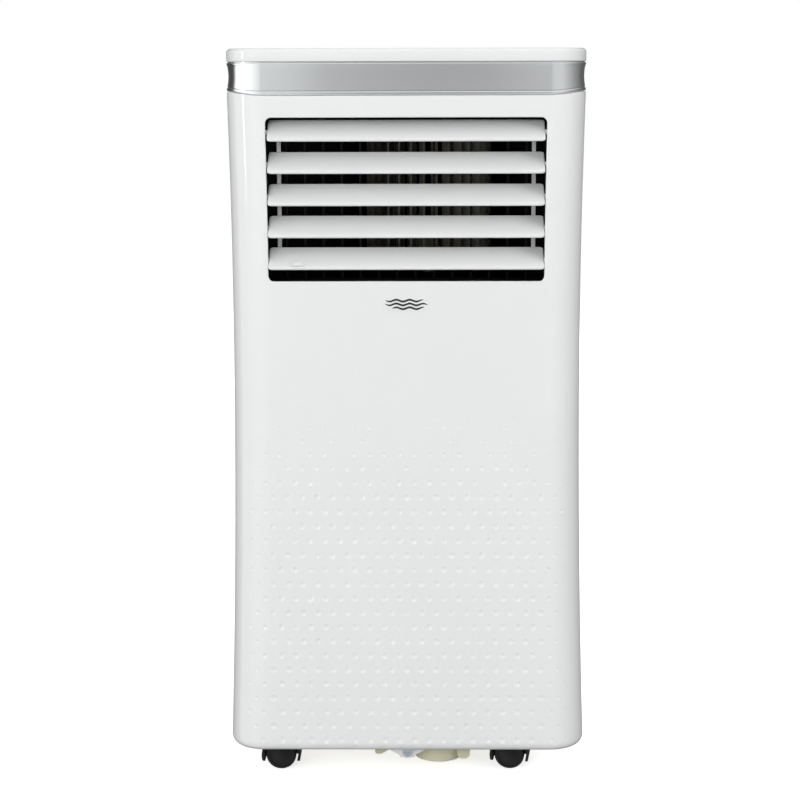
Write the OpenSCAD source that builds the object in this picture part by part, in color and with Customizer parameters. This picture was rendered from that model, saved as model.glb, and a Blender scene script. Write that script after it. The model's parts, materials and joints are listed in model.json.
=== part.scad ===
// Portable air conditioner on four casters, built as separate pieces.
// The front faces -Y, +Z is up, and the origin is on the floor under the middle of the unit.

/* [Casing] */
// Width of the casing at its foot
foot_w = 302; // [285:1:330]
// Width of the casing at its waist
waist_w = 288; // [270:1:300]
// Width of the casing at its shoulder, under the trim band
shoulder_w = 293; // [280:1:315]
// Depth of the casing, front face to rear face
body_d = 320; // [310:1:384]
// Height of the whole unit above the floor
unit_h = 616; // [590:1:740]
// Gap between the floor and the bottom edge of the casing
ground_gap = 28; // [27:0.5:34]
// Height of the waist above the floor
waist_z = 390; // [330:1:430]
// Radius of the casing's upright corners, seen from above
corner_r = 30; // [24:1:36]
// Thickness of the casing walls
wall = 2.6; // [2.2:0.1:3.2]
// Radius of the casing's bottom edge
foot_r = 8; // [6:0.5:9]
// Width of the flange that turns in under the casing
flange_w = 16; // [14:0.5:18]
// Distance of the joint between front and rear casing from the front face
seam_in = 116; // [100:1:130]

/* [Top] */
// Thickness of the top cap at its rim
cap_h = 10.6; // [10:0.1:14]
// Height of the silver trim band
band_h = 26.9; // [20:0.1:32]
// Depth of the hollow across the trim band
band_hollow = 1.5; // [0.5:0.1:2]
// Radius of the cap's top edge
cap_edge_r = 3.2; // [2:0.1:4]
// Thickness of the cap's top wall
cap_top_t = 4.5; // [4:0.1:6]

/* [Controls] */
// Width of the control panel inlay
controls_w = 168; // [150:1:200]
// Depth of the control panel inlay, front to back
controls_d = 58; // [50:1:70]
// Thickness of the control panel inlay
controls_t = 2; // [1.5:0.1:2.5]
// Distance of the inlay's front edge from the front face
controls_in = 26; // [20:1:40]
// Radius of the push buttons
button_r = 6.5; // [5:0.1:8]
// Distance between the middles of two buttons
button_pitch = 26; // [20:1:30]
// How far a button goes down
button_travel = 0.8; // [0.5:0.1:1.2]
// Width of the display window
display_w = 42; // [30:1:60]
// Depth of the display window
display_d = 18; // [12:1:22]

/* [Air outlet] */
// Width of the outlet opening
outlet_w = 227; // [200:1:235]
// Height of the outlet opening
outlet_h = 132; // [128:1:140]
// Distance of the opening's top edge below the trim band
outlet_drop = 17.5; // [14:0.5:30]
// Radius of the opening's corners
outlet_r = 4.8; // [3:0.1:8]
// Distance between two louvre pivots
louvre_pitch = 25.9; // [21.5:0.1:26.5]
// Distance of the top pivot below the opening's top edge
pivot_drop = 11.7; // [10:0.1:14]
// Distance of the pivots behind the front face
pivot_in = 6.5; // [6:0.1:9]
// Blade length from the pivot to the outer edge
blade_out = 11.5; // [9:0.1:12]
// Blade length from the pivot to the inner edge
blade_in = 15.5; // [12:0.1:16]
// Angle of the blades at rest, from upright
blade_tilt = 55; // [40:1:65]
// Gap between a blade's end and the side of the duct
blade_gap = 1.8; // [1.2:0.1:2.5]
// Radius of the louvre pivots
pivot_r = 1.9; // [1.5:0.1:2]
// Distance of the link bars from the middle
link_x = 104.3; // [90:0.1:106]
// Width of a link bar
link_w = 3.2; // [2.4:0.1:4]
// Depth of the outlet duct behind the front wall
duct_d = 27; // [26:0.5:32]
// Thickness of the duct's walls
duct_wall = 3; // [2:0.1:3.4]

/* [Rear] */
// Width of both inlet grilles
grille_w = 216; // [180:1:220]
// Height of the upper inlet grille
upper_grille_h = 174; // [150:1:180]
// Height of the lower inlet grille
lower_grille_h = 132; // [100:1:136]
// Distance of the upper grille's top edge below the cap
upper_grille_drop = 28; // [24:1:40]
// Height of the lower grille's bottom edge above the floor
lower_grille_z = 72; // [70:1:80]
// Distance between two grille slats
slat_pitch = 11; // [8:0.5:14]
// Thickness of a grille slat
slat_t = 4; // [2:0.1:5]
// Inner radius of the exhaust collar
hose_r = 72.5; // [60:0.5:74]
// Wall of the exhaust collar
collar_t = 3; // [2:0.1:3.5]
// Height of the exhaust collar's axis above the floor
hose_z = 283; // [280:1:286]
// Length of a side grip
grip_l = 108; // [90:1:130]
// Height of a side grip
grip_h = 32; // [26:1:40]
// Depth of a side grip
grip_d = 17; // [12:0.5:24]
// Distance of the side grips' middle below the top cap
grip_drop = 121.4; // [110:0.1:150]

/* [Underside] */
// Radius of a caster wheel
wheel_r = 13; // [11:0.1:13.5]
// Distance of a wheel's axle from its swivel axis
caster_trail = 10; // [8:0.5:12]
// Distance of the swivel axes from the middle, sideways
caster_x = 99.5; // [85:0.5:110]
// Distance of the swivel axes from the front and rear faces
caster_in = 47; // [40:1:55]
// How far the front right caster is swivelled at rest
front_right_turn = -7; // [-30:1:30]
// Radius of a caster's stem
stem_r = 4; // [3:0.1:5]
// Radius of the sump cup
sump_r = 21; // [15:0.5:26]
// Height of the sump cup's bottom above the floor
sump_z = 7.6; // [6:0.1:12]
// Width of the screw tab where it leaves the casing
tab_w = 38.6; // [30:0.1:46]

/* [Inside] */
// Outer radius of the upper blower wheel
upper_wheel_r = 54; // [46:1:58]
// Outer radius of the lower blower wheel
lower_wheel_r = 58; // [46:1:60]
// Number of blades on a blower wheel
blower_blades = 30; // [20:1:40]
// Radius of the compressor's shell
compressor_r = 50; // [42:1:54]
// Height of the compressor's shell
compressor_h = 168; // [140:1:180]
// Thickness of both heat exchangers
coil_t = 30; // [20:1:34]

/* [Fits] */
// Radial clearance of a shaft that turns in its hole
run_gap = 0.05; // [0.02:0.01:0.1]
// Gap between pieces that move past each other
free_gap = 0.5; // [0.4:0.1:1]
// Gap between fixed pieces laid side by side
lay_gap = 0.3; // [0.1:0.1:0.6]

/* [Hidden] */
$fn = 48;

white = "#eceeee";
black = "#1b1c1e";
beige = "#d9d6b8";
hair = 0.2;                         // step between two neighbouring loft levels
front_y = -body_d / 2;
rear_y = body_d / 2;
seam_y = front_y + seam_in;
cap_z = unit_h - cap_h;             // underside of the cap
band_z = cap_z - band_h;            // underside of the trim band
flange_t = 2.8;
tray_z = ground_gap + flange_t;     // underside of the tray

outlet_top = band_z - outlet_drop;
outlet_mid = outlet_top - outlet_h / 2;
top_pivot_z = outlet_top - pivot_drop;
pivot_y = front_y + pivot_in;
duct_y = front_y + wall;            // front of the duct
duct_back = duct_y + duct_d;
duct_half = outlet_w / 2 + free_gap;
duct_top = top_pivot_z + 22;        // leaves room for the link bars
duct_floor = top_pivot_z - 4 * louvre_pitch - 18.5;
blade_half = duct_half - blade_gap;
outer_tip_r = 1.6;
inner_tip_r = 1.2;
blade_t = 4.2;
link_back = 18.5;                   // link pin behind the pivot, along the blade
link_under = 5;                     // link pin under the blade
link_t = 3.2;
link_pin_r = 1.2;
tab_r = 5.4;
tab_x = -88;
tab_u = blade_out - 1;
tab_v = blade_t / 2 + 1.4;
// how far the louvres stand out of the front face, which the exhaust collar matches behind
outlet_reach = max((blade_out - outer_tip_r) * sin(blade_tilt) + outer_tip_r,
    tab_u * sin(blade_tilt) + tab_v * cos(blade_tilt)) - pivot_in;

controls_y = front_y + controls_in + controls_d / 2;

upper_grille_z = cap_z - upper_grille_drop - upper_grille_h;
grille_t = 7;
filter_t = 5;
grip_y = 40;
grip_z = cap_z - grip_drop;

scroll_x = 18;
scroll_y = duct_back + 72;
scroll_floor = duct_floor - duct_wall;
scroll_top = duct_top + duct_wall;
deck_z = scroll_floor - 57;         // top of the drip deck
deck_t = 4;
coil_w = grille_w + 6;
coil_y = rear_y - 66;               // front of both coils
lower_y = 10;
lower_z = hose_z - 30;
lower_half = 50;                    // half the lower scroll's width
pipe_y = coil_y + 14;               // where the pipes meet the coils
riser_x = 127;                      // pipes that pass through the deck
riser_y = pipe_y - 9;

// half width of the casing at height z: a smooth waist between foot and shoulder
function half_w(z) = z < waist_z
    ? waist_w / 2 + (foot_w - waist_w) / 2 * pow((waist_z - z) / (waist_z - ground_gap), 2)
    : waist_w / 2 + (shoulder_w - waist_w) / 2 * pow((z - waist_z) / (band_z - waist_z), 2);
// how far the rounded bottom edge draws in at height z
function foot_in(z) = z - ground_gap < foot_r
    ? foot_r - sqrt(foot_r * foot_r - pow(foot_r - (z - ground_gap), 2)) : 0;

// open outline of the front half or rear half, drawn in by d: side, two corners, side
function half_outline(z, d, face, seam, steps = 6) =
    let (w = half_w(min(z, band_z)) - d, s = face < seam ? 1 : -1, y = face + s * d,
        r = max(corner_r - d, 3))
    concat([[-w, seam]],
        [for (i = [0:steps]) let (a = i * 90 / steps)
            [-w + r - r * cos(a), y + s * (r - r * sin(a))]],
        [for (i = [0:steps]) let (a = 90 - i * 90 / steps)
            [w - r + r * cos(a), y + s * (r - r * sin(a))]],
        [[w, seam]]);
function reversed(v) = [for (i = [len(v) - 1:-1:0]) v[i]];

// wall between an outer and an inner outline, lofted over levels of [z, outer inset, inner inset]
module half_shell(levels, face, seam) {
    rings = [for (l = levels) concat(half_outline(l[0], l[1], face, seam),
        reversed(half_outline(l[0], l[2], face, seam)))];
    n = len(rings[0]);
    m = len(rings);
    points = [for (k = [0:m - 1]) for (p = rings[k]) [p[0], p[1], levels[k][0]]];
    sides = [for (k = [0:m - 2]) for (i = [0:n - 1]) let (j = (i + 1) % n)
        each [[k * n + i, (k + 1) * n + i, k * n + j],
            [k * n + j, (k + 1) * n + i, (k + 1) * n + j]]];
    half = n / 2;
    ends = [for (i = [0:half - 2]) let (a = i, b = i + 1, c = n - 2 - i, d = n - 1 - i,
            t = (m - 1) * n)
        each [[a, b, c], [a, c, d], [t + a, t + c, t + b], [t + a, t + d, t + c]]];
    faces = concat(sides, ends);
    polyhedron(points, face < seam ? [for (f = faces) [f[0], f[1], f[2]]]
        : [for (f = faces) [f[0], f[2], f[1]]]);
}

// levels of a casing half from the turned-in flange up to height top
function casing_levels(top) = concat(
    [for (z = [0, 0.8, flange_t - hair]) [ground_gap + z, foot_in(ground_gap + z), flange_w]],
    [for (z = [flange_t, 5, foot_r]) let (d = foot_in(ground_gap + z))
        [ground_gap + z, d, d + wall]],
    [for (i = [1:12]) let (z = ground_gap + foot_r + (top - ground_gap - foot_r) * i / 12)
        [z, 0, wall]]);

module round_rect(w, h, r) {
    square([w - 2 * r, h], center = true);
    square([w, h - 2 * r], center = true);
    for (sx = [-1, 1], sy = [-1, 1])
        translate([sx * (w / 2 - r), sy * (h / 2 - r)]) circle(r = r);
}

// a flat shape drawn in X and Z, set upright with its back at y and thickness t towards -Y
module upright(y, t) translate([0, y, 0]) rotate([90, 0, 0]) linear_extrude(t) children();
// a round bar along X or Y
module bar_x(x0, x1, r) translate([x0, 0, 0]) rotate([0, 90, 0]) cylinder(r = r, h = x1 - x0);
module bar_y(y0, y1, r) translate([0, y1, 0]) rotate([90, 0, 0]) cylinder(r = r, h = y1 - y0);

// ---- casing ----
tab_y = front_y + flange_w - 1;     // front of the screw tab
tab_t = 2.4;
tab_tip_z = ground_gap - 10.8;
tab_screw_z = ground_gap - 4.6;
screw_r = 2;

module front_panel() color(white) difference() {
    union() {
        half_shell(casing_levels(band_z), front_y, seam_y);
        upright(tab_y + tab_t, tab_t) polygon([[-tab_w / 2, tray_z - 0.4],
            [-tab_w / 2, ground_gap - 1], [-4.5, tab_tip_z + 0.6], [-2.5, tab_tip_z],
            [2.5, tab_tip_z], [4.5, tab_tip_z + 0.6], [tab_w / 2, ground_gap - 1],
            [tab_w / 2, tray_z - 0.4]]);
    }
    upright(front_y + 10, 20) translate([0, outlet_mid]) round_rect(outlet_w, outlet_h, outlet_r);
    translate([0, 0, tab_screw_z]) bar_y(tab_y - 1, tab_y + tab_t + 1, screw_r + run_gap);
}

spout_z = 50;
spout_x = -60;
gland_x = 60;
gland_z = spout_z;
screw_x = 95;
low_screw_z = 60;
top_screw_z = cap_z - 9;

module rear_casing() color(white) difference() {
    half_shell(casing_levels(cap_z), rear_y, seam_y);
    for (g = [[upper_grille_z, upper_grille_h], [lower_grille_z, lower_grille_h]])
        upright(rear_y + 5, 20) translate([0, g[0] + g[1] / 2])
            round_rect(grille_w + 2 * free_gap, g[1] + 2 * free_gap, 6);
    translate([0, 0, hose_z]) bar_y(rear_y - 8, rear_y + 5, hose_r + collar_t + run_gap);
    translate([spout_x, 0, spout_z]) bar_y(rear_y - 8, rear_y + 5, 7 + run_gap);
    translate([gland_x, 0, gland_z]) bar_y(rear_y - 8, rear_y + 5, 7 + run_gap);
    for (sx = [-1, 1]) {
        translate([sx * waist_w / 2, grip_y, grip_z])
            cube([40, grip_l + 2 * lay_gap, grip_h + 2 * lay_gap], center = true);
        for (z = [low_screw_z, top_screw_z])
            translate([sx * screw_x, 0, z]) bar_y(rear_y - 8, rear_y + 5, screw_r + run_gap);
    }
}

// concave band round the front half, between the front panel and the cap
module trim_band() color("#b9bcc0") half_shell(
    [for (i = [0:8]) let (t = i / 8, z = band_z + t * band_h)
        [z, 0.4 + band_hollow * (1 - pow(2 * t - 1, 2)), 0.4 + band_hollow + wall]],
    front_y, seam_y);

// closed outline of the whole casing at the shoulder, drawn in by d
module shoulder_outline(d) round_rect(shoulder_w - 2 * d, body_d - 2 * d, corner_r - d);

module cap_blank() {
    // levels of the rounded top edge: [height, inset]
    lip = [for (a = [0:15:90]) [unit_h - cap_edge_r + cap_edge_r * sin(a),
        cap_edge_r * (1 - cos(a))]];
    levels = concat([[cap_z, 0.3], [cap_z + 0.6, 0]], lip);
    rings = [for (l = levels) concat(half_outline(band_z, l[1], front_y, 0),
        reversed(half_outline(band_z, l[1], rear_y, 0)))];
    n = len(rings[0]);
    m = len(rings);
    points = [for (k = [0:m - 1]) for (p = rings[k]) [p[0], p[1], levels[k][0]]];
    polyhedron(points, concat(
        [[for (i = [0:n - 1]) i]],
        [[for (i = [n - 1:-1:0]) (m - 1) * n + i]],
        [for (k = [0:m - 2]) for (i = [0:n - 1]) let (j = (i + 1) % n)
            each [[k * n + i, (k + 1) * n + i, k * n + j],
                [k * n + j, (k + 1) * n + i, (k + 1) * n + j]]]));
}

function button_x(i) = (i - 2.5) * button_pitch;
button_y = controls_y + 12;
display_y = controls_y - 13;

module top_cap() color(white) {
    difference() {
        union() {
            cap_blank();
            for (sx = [-1, 1]) translate([sx * screw_x, rear_y - wall - lay_gap - 3, top_screw_z])
                cube([14, 6, 2 * (cap_z - top_screw_z) + 1], center = true);
        }
        translate([0, 0, cap_z - 1]) linear_extrude(cap_h - cap_top_t + 1)
            difference() {
                shoulder_outline(8);
                for (sx = [-1, 1]) translate([sx * screw_x, rear_y - 12]) square([18, 12], center = true);
            }
        translate([0, controls_y, unit_h - controls_t]) linear_extrude(cap_h)
            round_rect(controls_w + 2 * lay_gap, controls_d + 2 * lay_gap, 8);
        for (i = [0:5]) translate([button_x(i), button_y, cap_z])
            cylinder(r = button_r + free_gap, h = cap_h);
        for (sx = [-1, 1]) translate([sx * screw_x, 0, top_screw_z])
            bar_y(rear_y - 16, rear_y, screw_r + run_gap);
    }
}

module badge() color("#3a3d40") upright(front_y, 0.6)
    translate([0, outlet_top - outlet_h - 19]) round_rect(39.6, 9.8, 2);

module control_panel() color(black) difference() {
    translate([0, controls_y, unit_h - controls_t]) linear_extrude(controls_t)
        round_rect(controls_w, controls_d, 8);
    for (i = [0:5]) translate([button_x(i), button_y, unit_h - cap_h])
        cylinder(r = button_r + free_gap, h = 2 * cap_h);
    translate([0, display_y, unit_h - 1]) linear_extrude(2)
        round_rect(display_w + 2 * lay_gap, display_d + 2 * lay_gap, 2);
}

module display_window() color("#20262b") translate([0, display_y, unit_h - 1])
    linear_extrude(0.9) round_rect(display_w, display_d, 2);

// board under the cap that carries the push switches, on four posts
board_z = cap_z - 8;
module control_board() color("#2d6b3c") {
    translate([0, controls_y, board_z]) linear_extrude(1.6) square([controls_w, controls_d],
        center = true);
    for (i = [0:5]) translate([button_x(i) - 3, button_y - 3, board_z + 1.6]) cube([6, 6, 3]);
    for (sx = [-1, 1], sy = [-1, 1])
        translate([sx * (controls_w / 2 - 5), controls_y + sy * (controls_d / 2 - 5), board_z + 1.6])
            cylinder(r = 3, h = unit_h - cap_top_t - board_z - 1.6);
}

// push button number i: a round cap on a plunger that ends just above its switch
module button(i) color("#d8dadb") translate([button_x(i), button_y, 0]) {
    translate([0, 0, unit_h - 4]) cylinder(r = button_r, h = 3.7);
    translate([0, 0, board_z + 5 + button_travel]) cylinder(r = 2.5,
        h = unit_h - 4 - (board_z + 5 + button_travel));
}

// ---- air outlet ----
module outlet_duct() color(black) difference() {
    translate([-duct_half - duct_wall, duct_y, duct_floor - duct_wall])
        cube([2 * (duct_half + duct_wall), duct_d, duct_top - duct_floor + 2 * duct_wall]);
    translate([-duct_half, duct_y - 1, duct_floor])
        cube([2 * duct_half, duct_d + 2, duct_top - duct_floor]);
    // the side walls stop short of the rounded inside of the front panel
    for (s = [-1, 1]) translate([s * (duct_half + duct_wall) - 3.5, duct_y - 1, duct_floor - 10])
        cube([7, 1 + 2 * lay_gap, duct_top - duct_floor + 20]);
    for (i = [0:4]) translate([0, pivot_y, top_pivot_z - i * louvre_pitch])
        bar_x(-duct_half - duct_wall - 1, duct_half + duct_wall + 1, pivot_r + run_gap);
}

// grid of thin bars across the back of the duct
guard_t = 2;
module guard_grille() color(black) {
    rows = 6;
    cols = 15;
    bar = 1.8;
    w = 2 * (duct_half + duct_wall);
    h = duct_top - duct_floor + 2 * duct_wall;
    cell_w = (w - 8 - (cols - 1) * bar) / cols;
    cell_h = (h - 8 - (rows - 1) * bar) / rows;
    upright(duct_back + guard_t, guard_t) difference() {
        translate([0, (duct_top + duct_floor) / 2]) square([w, h], center = true);
        for (i = [0:cols - 1], j = [0:rows - 1])
            translate([-w / 2 + 4 + i * (cell_w + bar),
                duct_floor - duct_wall + 4 + j * (cell_h + bar)]) square([cell_w, cell_h]);
    }
}

// cross-section of a louvre: the first axis runs to the outer edge, the second up off the blade
module blade_section() hull() {
    translate([blade_out - outer_tip_r, 0]) circle(r = outer_tip_r, $fn = 24);
    translate([-blade_in + inner_tip_r, 0]) circle(r = inner_tip_r, $fn = 24);
    translate([0, 0.2]) circle(r = blade_t / 2, $fn = 32);
}
module ear_section() hull() {
    translate([-link_back, -link_under]) circle(r = 2.4, $fn = 24);
    translate([-blade_in + 4, -0.4]) circle(r = 1.4, $fn = 24);
    translate([-blade_in + 9, -0.4]) circle(r = 1.4, $fn = 24);
}
// puts a section on pivot i with the blade at its rest angle, drawing towards -X
module on_pivot(i) translate([0, pivot_y, top_pivot_z - i * louvre_pitch])
    rotate([180 - blade_tilt, 0, 0]) rotate([0, -90, 0]) children();

ear_t = 1.6;
ear_face = link_x - link_w / 2 - free_gap;      // the ear's side towards the link bar
module louvre(i) color(white) on_pivot(i) {
    translate([0, 0, -blade_half]) linear_extrude(2 * blade_half) blade_section();
    for (s = [0, 1]) mirror([0, 0, s]) {
        translate([0, 0, blade_half - 1])
            cylinder(r = pivot_r, h = 1 + blade_gap + duct_wall - 0.4);
        translate([0, 0, ear_face - ear_t]) linear_extrude(ear_t) ear_section();
        translate([-link_back, -link_under, ear_face - 1])
            cylinder(r = link_pin_r, h = 1 + link_w + 2 * free_gap);
    }
    if (i == 4) translate([tab_u, 0, -tab_x]) rotate([-90, 0, 0])
        intersection() {
            cylinder(r = tab_r, h = tab_v);
            translate([-2 * tab_r, -tab_r, 0]) cube([2 * tab_r, 2 * tab_r, tab_v]);
        }
}

// bar that ties the five louvres together behind the blades
link_y = pivot_y + link_back * sin(blade_tilt) + link_under * cos(blade_tilt);
link_rise = link_back * cos(blade_tilt) - link_under * sin(blade_tilt);
module link_bar(side) color("#5f6266") difference() {
    x0 = side * link_x - link_w / 2;
    low = top_pivot_z - 4 * louvre_pitch + link_rise;
    union() {
        translate([x0, link_y - link_t / 2, low]) cube([link_w, link_t, 4 * louvre_pitch]);
        for (i = [0:4]) translate([0, link_y, low + i * louvre_pitch])
            bar_x(x0, x0 + link_w, 2.4);
    }
    for (i = [0:4]) translate([0, link_y, low + i * louvre_pitch])
        bar_x(x0 - 1, x0 + link_w + 1, link_pin_r + run_gap);
}

// ---- rear ----
// inlet grille of height h with its bottom edge at z, in three columns of slats
module inlet_grille(z, h) color(white) {
    rim = 8;
    rib = 4;
    cols = 3;
    col_w = (grille_w - 2 * rim - (cols - 1) * rib) / cols;
    rows = floor((h - 2 * rim) / slat_pitch);
    upright(rear_y, grille_t) difference() {
        translate([0, z + h / 2]) round_rect(grille_w, h, 6);
        for (c = [0:cols - 1], r = [0:rows - 1])
            translate([-grille_w / 2 + rim + c * (col_w + rib),
                z + h / 2 + (r - rows / 2) * slat_pitch + slat_t / 2])
                square([col_w, slat_pitch - slat_t]);
    }
}

// filter behind a grille: a frame with a sheet of mesh across it
module inlet_filter(z, h) color("#2a2c2e") {
    rim = 6;
    w = grille_w - 16;
    upright(rear_y - grille_t, filter_t) difference() {
        translate([0, z + h / 2]) square([w, h - 16], center = true);
        translate([0, z + h / 2]) square([w - 2 * rim, h - 16 - 2 * rim], center = true);
    }
    upright(rear_y - grille_t - filter_t / 2, 0.8) translate([0, z + h / 2])
        square([w - rim, h - 16 - rim], center = true);
}

collar_back = 35;                   // collar's back plate to the rear face
module exhaust_collar() color("#d4d6d6") {
    difference() {
        union() {
            translate([0, 0, hose_z])
                bar_y(rear_y - collar_back - 1, rear_y + outlet_reach, hose_r + collar_t);
            upright(rear_y - collar_back, 3) translate([0, hose_z])
                square(2 * (hose_r + collar_t) + 2, center = true);
        }
        translate([0, 0, hose_z]) bar_y(rear_y - collar_back, rear_y + 10, hose_r);
        upright(rear_y - collar_back + 1, 5) translate([lower_x, lower_z + 33.5])
            square([2 * lower_half - 8, 68], center = true);
    }
}

module grip(side) color("#dfe1e1") mirror([side < 0 ? 1 : 0, 0, 0]) difference() {
    rim = waist_w / 2;
    translate([rim - grip_d - 2, grip_y - grip_l / 2, grip_z - grip_h / 2])
        cube([grip_d + 2, grip_l, grip_h]);
    translate([rim - grip_d, grip_y - grip_l / 2 + 2, grip_z - grip_h / 2 + 2])
        cube([grip_d + 1, grip_l - 4, grip_h - 4]);
}

module cord_gland() color(black) translate([gland_x, 0, gland_z]) difference() {
    union() {
        bar_y(rear_y - 7, rear_y + 1, 7);
        bar_y(rear_y, rear_y + 1.5, 10);
    }
    bar_y(rear_y - 8, rear_y + 2, 3.5);
}

spout_r = 4.5;
spout_out = 0.5;
module drain_spout() color("#d4d6d6") translate([spout_x, 0, spout_z]) difference() {
    bar_y(rear_y - 14, rear_y + spout_out, 7);
    bar_y(rear_y - 15, rear_y + spout_out + 1, spout_r);
}
module drain_plug() color(black) translate([spout_x, 0, spout_z]) {
    bar_y(rear_y - 8, rear_y + spout_out + 1, spout_r - run_gap);
    bar_y(rear_y + spout_out, rear_y + spout_out + 3, 9);
}

// ---- underside ----
tray_in = 5.5;
tray_wall = 2.5;
tray_floor = tray_z + 3;
tray_h = 32;
sump_x = 27;
sump_in = 52;
sump_rim = 9;                       // wider rim above the cup's bottom
lobe_y = front_y + 54;
lobe_d = 24;
tab_boss_w = 12;                    // boss behind the screw tab
socket_r = 9;
socket_top = tray_floor + 9;       // just under the compressor's foot plate
caster_ys = [front_y + caster_in, rear_y - caster_in];
module tray_outline(d) round_rect(foot_w - 2 * (tray_in + d), body_d - 2 * (tray_in + d), 24 - d);
module each_caster() for (sx = [-1, 1], y = caster_ys) translate([sx * caster_x, y]) children();

module base_tray() color(beige) difference() {
    union() {
        difference() {
            translate([0, 0, tray_z]) linear_extrude(tray_h) tray_outline(0);
            translate([0, 0, tray_floor]) linear_extrude(tray_h) tray_outline(tray_wall);
        }
        translate([sump_x, front_y + sump_in, sump_z]) rotate_extrude()
            polygon([[0, 0], [sump_r - 2, 0], [sump_r - 0.6, 0.6], [sump_r, 2],
                [sump_r, tray_z - sump_z + 1], [0, tray_z - sump_z + 1]]);
        translate([sump_x, front_y + sump_in, sump_z + sump_rim])
            cylinder(r = sump_r + 2, h = tray_z - sump_z - sump_rim + 1);
        // two moulded lobes beside the cup: a round-bottomed one and one with a sloping side
        upright(lobe_y, lobe_d) translate([48.5, 21.2]) round_rect(11, 19.4, 4.5);
        upright(lobe_y, lobe_d) polygon([[-28, tray_z + 0.6], [-28, 17.2], [-27.4, 16.2],
            [-26.4, 15.8], [-23, 15.8], [-21.8, 16.2], [-14.6, 20.4], [-14.6, tray_z + 0.6]]);
        translate([-tab_boss_w / 2, tab_y + tab_t, tab_screw_z - tab_boss_w / 2])
            cube([tab_boss_w, 11, tray_z - tab_screw_z + tab_boss_w / 2 + 1]);
        each_caster() translate([0, 0, tray_z]) cylinder(r = socket_r, h = socket_top - tray_z);
    }
    translate([sump_x, front_y + sump_in, sump_z + 2.5])
        cylinder(r = sump_r - 2.5, h = tray_h);
    each_caster() translate([0, 0, tray_z - 1]) cylinder(r = stem_r + run_gap, h = 60);
    translate([0, 0, tab_screw_z]) bar_y(tab_y, tab_y + 30, screw_r + run_gap);
    for (x = [spout_x, gland_x])
        translate([x, 0, spout_z]) bar_y(rear_y - 15, rear_y, 7 + run_gap);
    for (sx = [-1, 1]) translate([sx * screw_x, 0, low_screw_z])
        bar_y(rear_y - 15, rear_y, screw_r + run_gap);
}

// cross-head screw pointing along +Y, with the underside of its head at the origin
module screw(length, head_r, head_h) difference() {
    union() {
        bar_y(-head_h, 0, head_r);
        bar_y(-0.5, length, screw_r);
    }
    for (a = [0, 90]) rotate([0, a, 0]) translate([-head_r * 0.55, -head_h - 1, -0.5])
        cube([head_r * 1.1, 2.2, 1]);
}
washer_t = 0.9;
module tab_screw() color("#b8bbbe") translate([0, tab_y, tab_screw_z]) {
    translate([0, -washer_t, 0]) screw(tab_t + washer_t + 9, 3.8, 2.2);
    difference() {
        bar_y(-washer_t, 0, 4.3);
        bar_y(-washer_t - 1, 1, screw_r - 0.5);
    }
}
module casing_screws() color("#8c8f92") for (sx = [-1, 1], z = [low_screw_z, top_screw_z])
    translate([sx * screw_x, rear_y, z]) mirror([0, 1, 0]) screw(12, 3.8, 1.8);

hood_r = 17;
hood_in = wheel_r + 1.7;
hood_half = 13;
web_half = 2;
axle_r = 2;
ear_z = 7.8;                        // lowest point of the hood above the floor
web_z = 10.5;                       // above this the web is as wide as the hood
boss_top = tray_z - 0.8;             // top of the caster, just under the tray
// stem, hood and centre web of one caster, which swivel together
module caster_at(sx, y, turn = 0) color(black) translate([sx * caster_x, y, 0]) rotate(turn) {
    translate([-caster_trail, 0, wheel_r]) difference() {
        union() {
            bar_y(-hood_half, hood_half, hood_r);
            translate([caster_trail, 0, 0]) cylinder(r = 7, h = boss_top - wheel_r);
        }
        for (s = [0, 1]) mirror([0, s, 0]) bar_y(web_half, hood_half + 1, hood_in);
        bar_y(-hood_half - 1, hood_half + 1, axle_r + run_gap);
        translate([-30, -30, -wheel_r - 30]) cube([60, 60, ear_z + 30]);
        // below the ears' roots the web is narrower than the wheels
        difference() {
            translate([0, 0, -30 + web_z - wheel_r]) intersection() {
                cube([2 * hood_in, 3 * web_half, 60], center = true);
                translate([0, 0, 30 - web_z + wheel_r]) bar_y(-5, 5, hood_in);
            }
            bar_y(-5, 5, wheel_r - 2);
        }
    }
    translate([0, 0, boss_top - 4]) cylinder(r = stem_r, h = socket_top - boss_top + 3);
}
// both treads of one caster on their axle
module wheel_at(sx, y, turn = 0) color("#101112") translate([sx * caster_x, y, 0])
    rotate(turn) translate([-caster_trail, 0, wheel_r]) rotate([90, 0, 0])
    rotate_extrude() polygon([[0, -12], [wheel_r - 1.5, -12], [wheel_r, -10.5],
        [wheel_r, -4], [wheel_r - 1, -2.8], [axle_r, -2.8], [axle_r, 2.8], [wheel_r - 1, 2.8],
        [wheel_r, 4], [wheel_r, 10.5], [wheel_r - 1.5, 12], [0, 12]]);

// ---- inside ----
shaft_r = 4;
lower_x = -25;
post_w = 8;
pipe_hole_r = 9;
module drip_deck() color("#e9eaea") difference() {
    union() {
        translate([0, 0, deck_z - deck_t]) linear_extrude(deck_t)
            round_rect(waist_w - 2 * wall - 6, body_d - 2 * wall - 6, 24);
        // posts down to the tray, each pair at [x, y]
        for (p = [[134, coil_y - 23], [129, front_y + 21]], sx = [-1, 1])
            translate([sx * p[0] - post_w / 2, p[1], tray_floor])
                cube([post_w, post_w, deck_z - tray_floor - 1]);
        translate([-coil_w / 2 - 5, coil_y - 6, deck_z - 1]) difference() {
            cube([coil_w + 10, coil_t + 12, 9]);
            translate([2, 2, 1]) cube([coil_w + 6, coil_t + 8, 9]);
        }
    }
    for (x = [-riser_x, riser_x]) translate([x, riser_y, deck_z - deck_t - 1])
        cylinder(r = pipe_hole_r, h = deck_t + 12);
}

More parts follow.
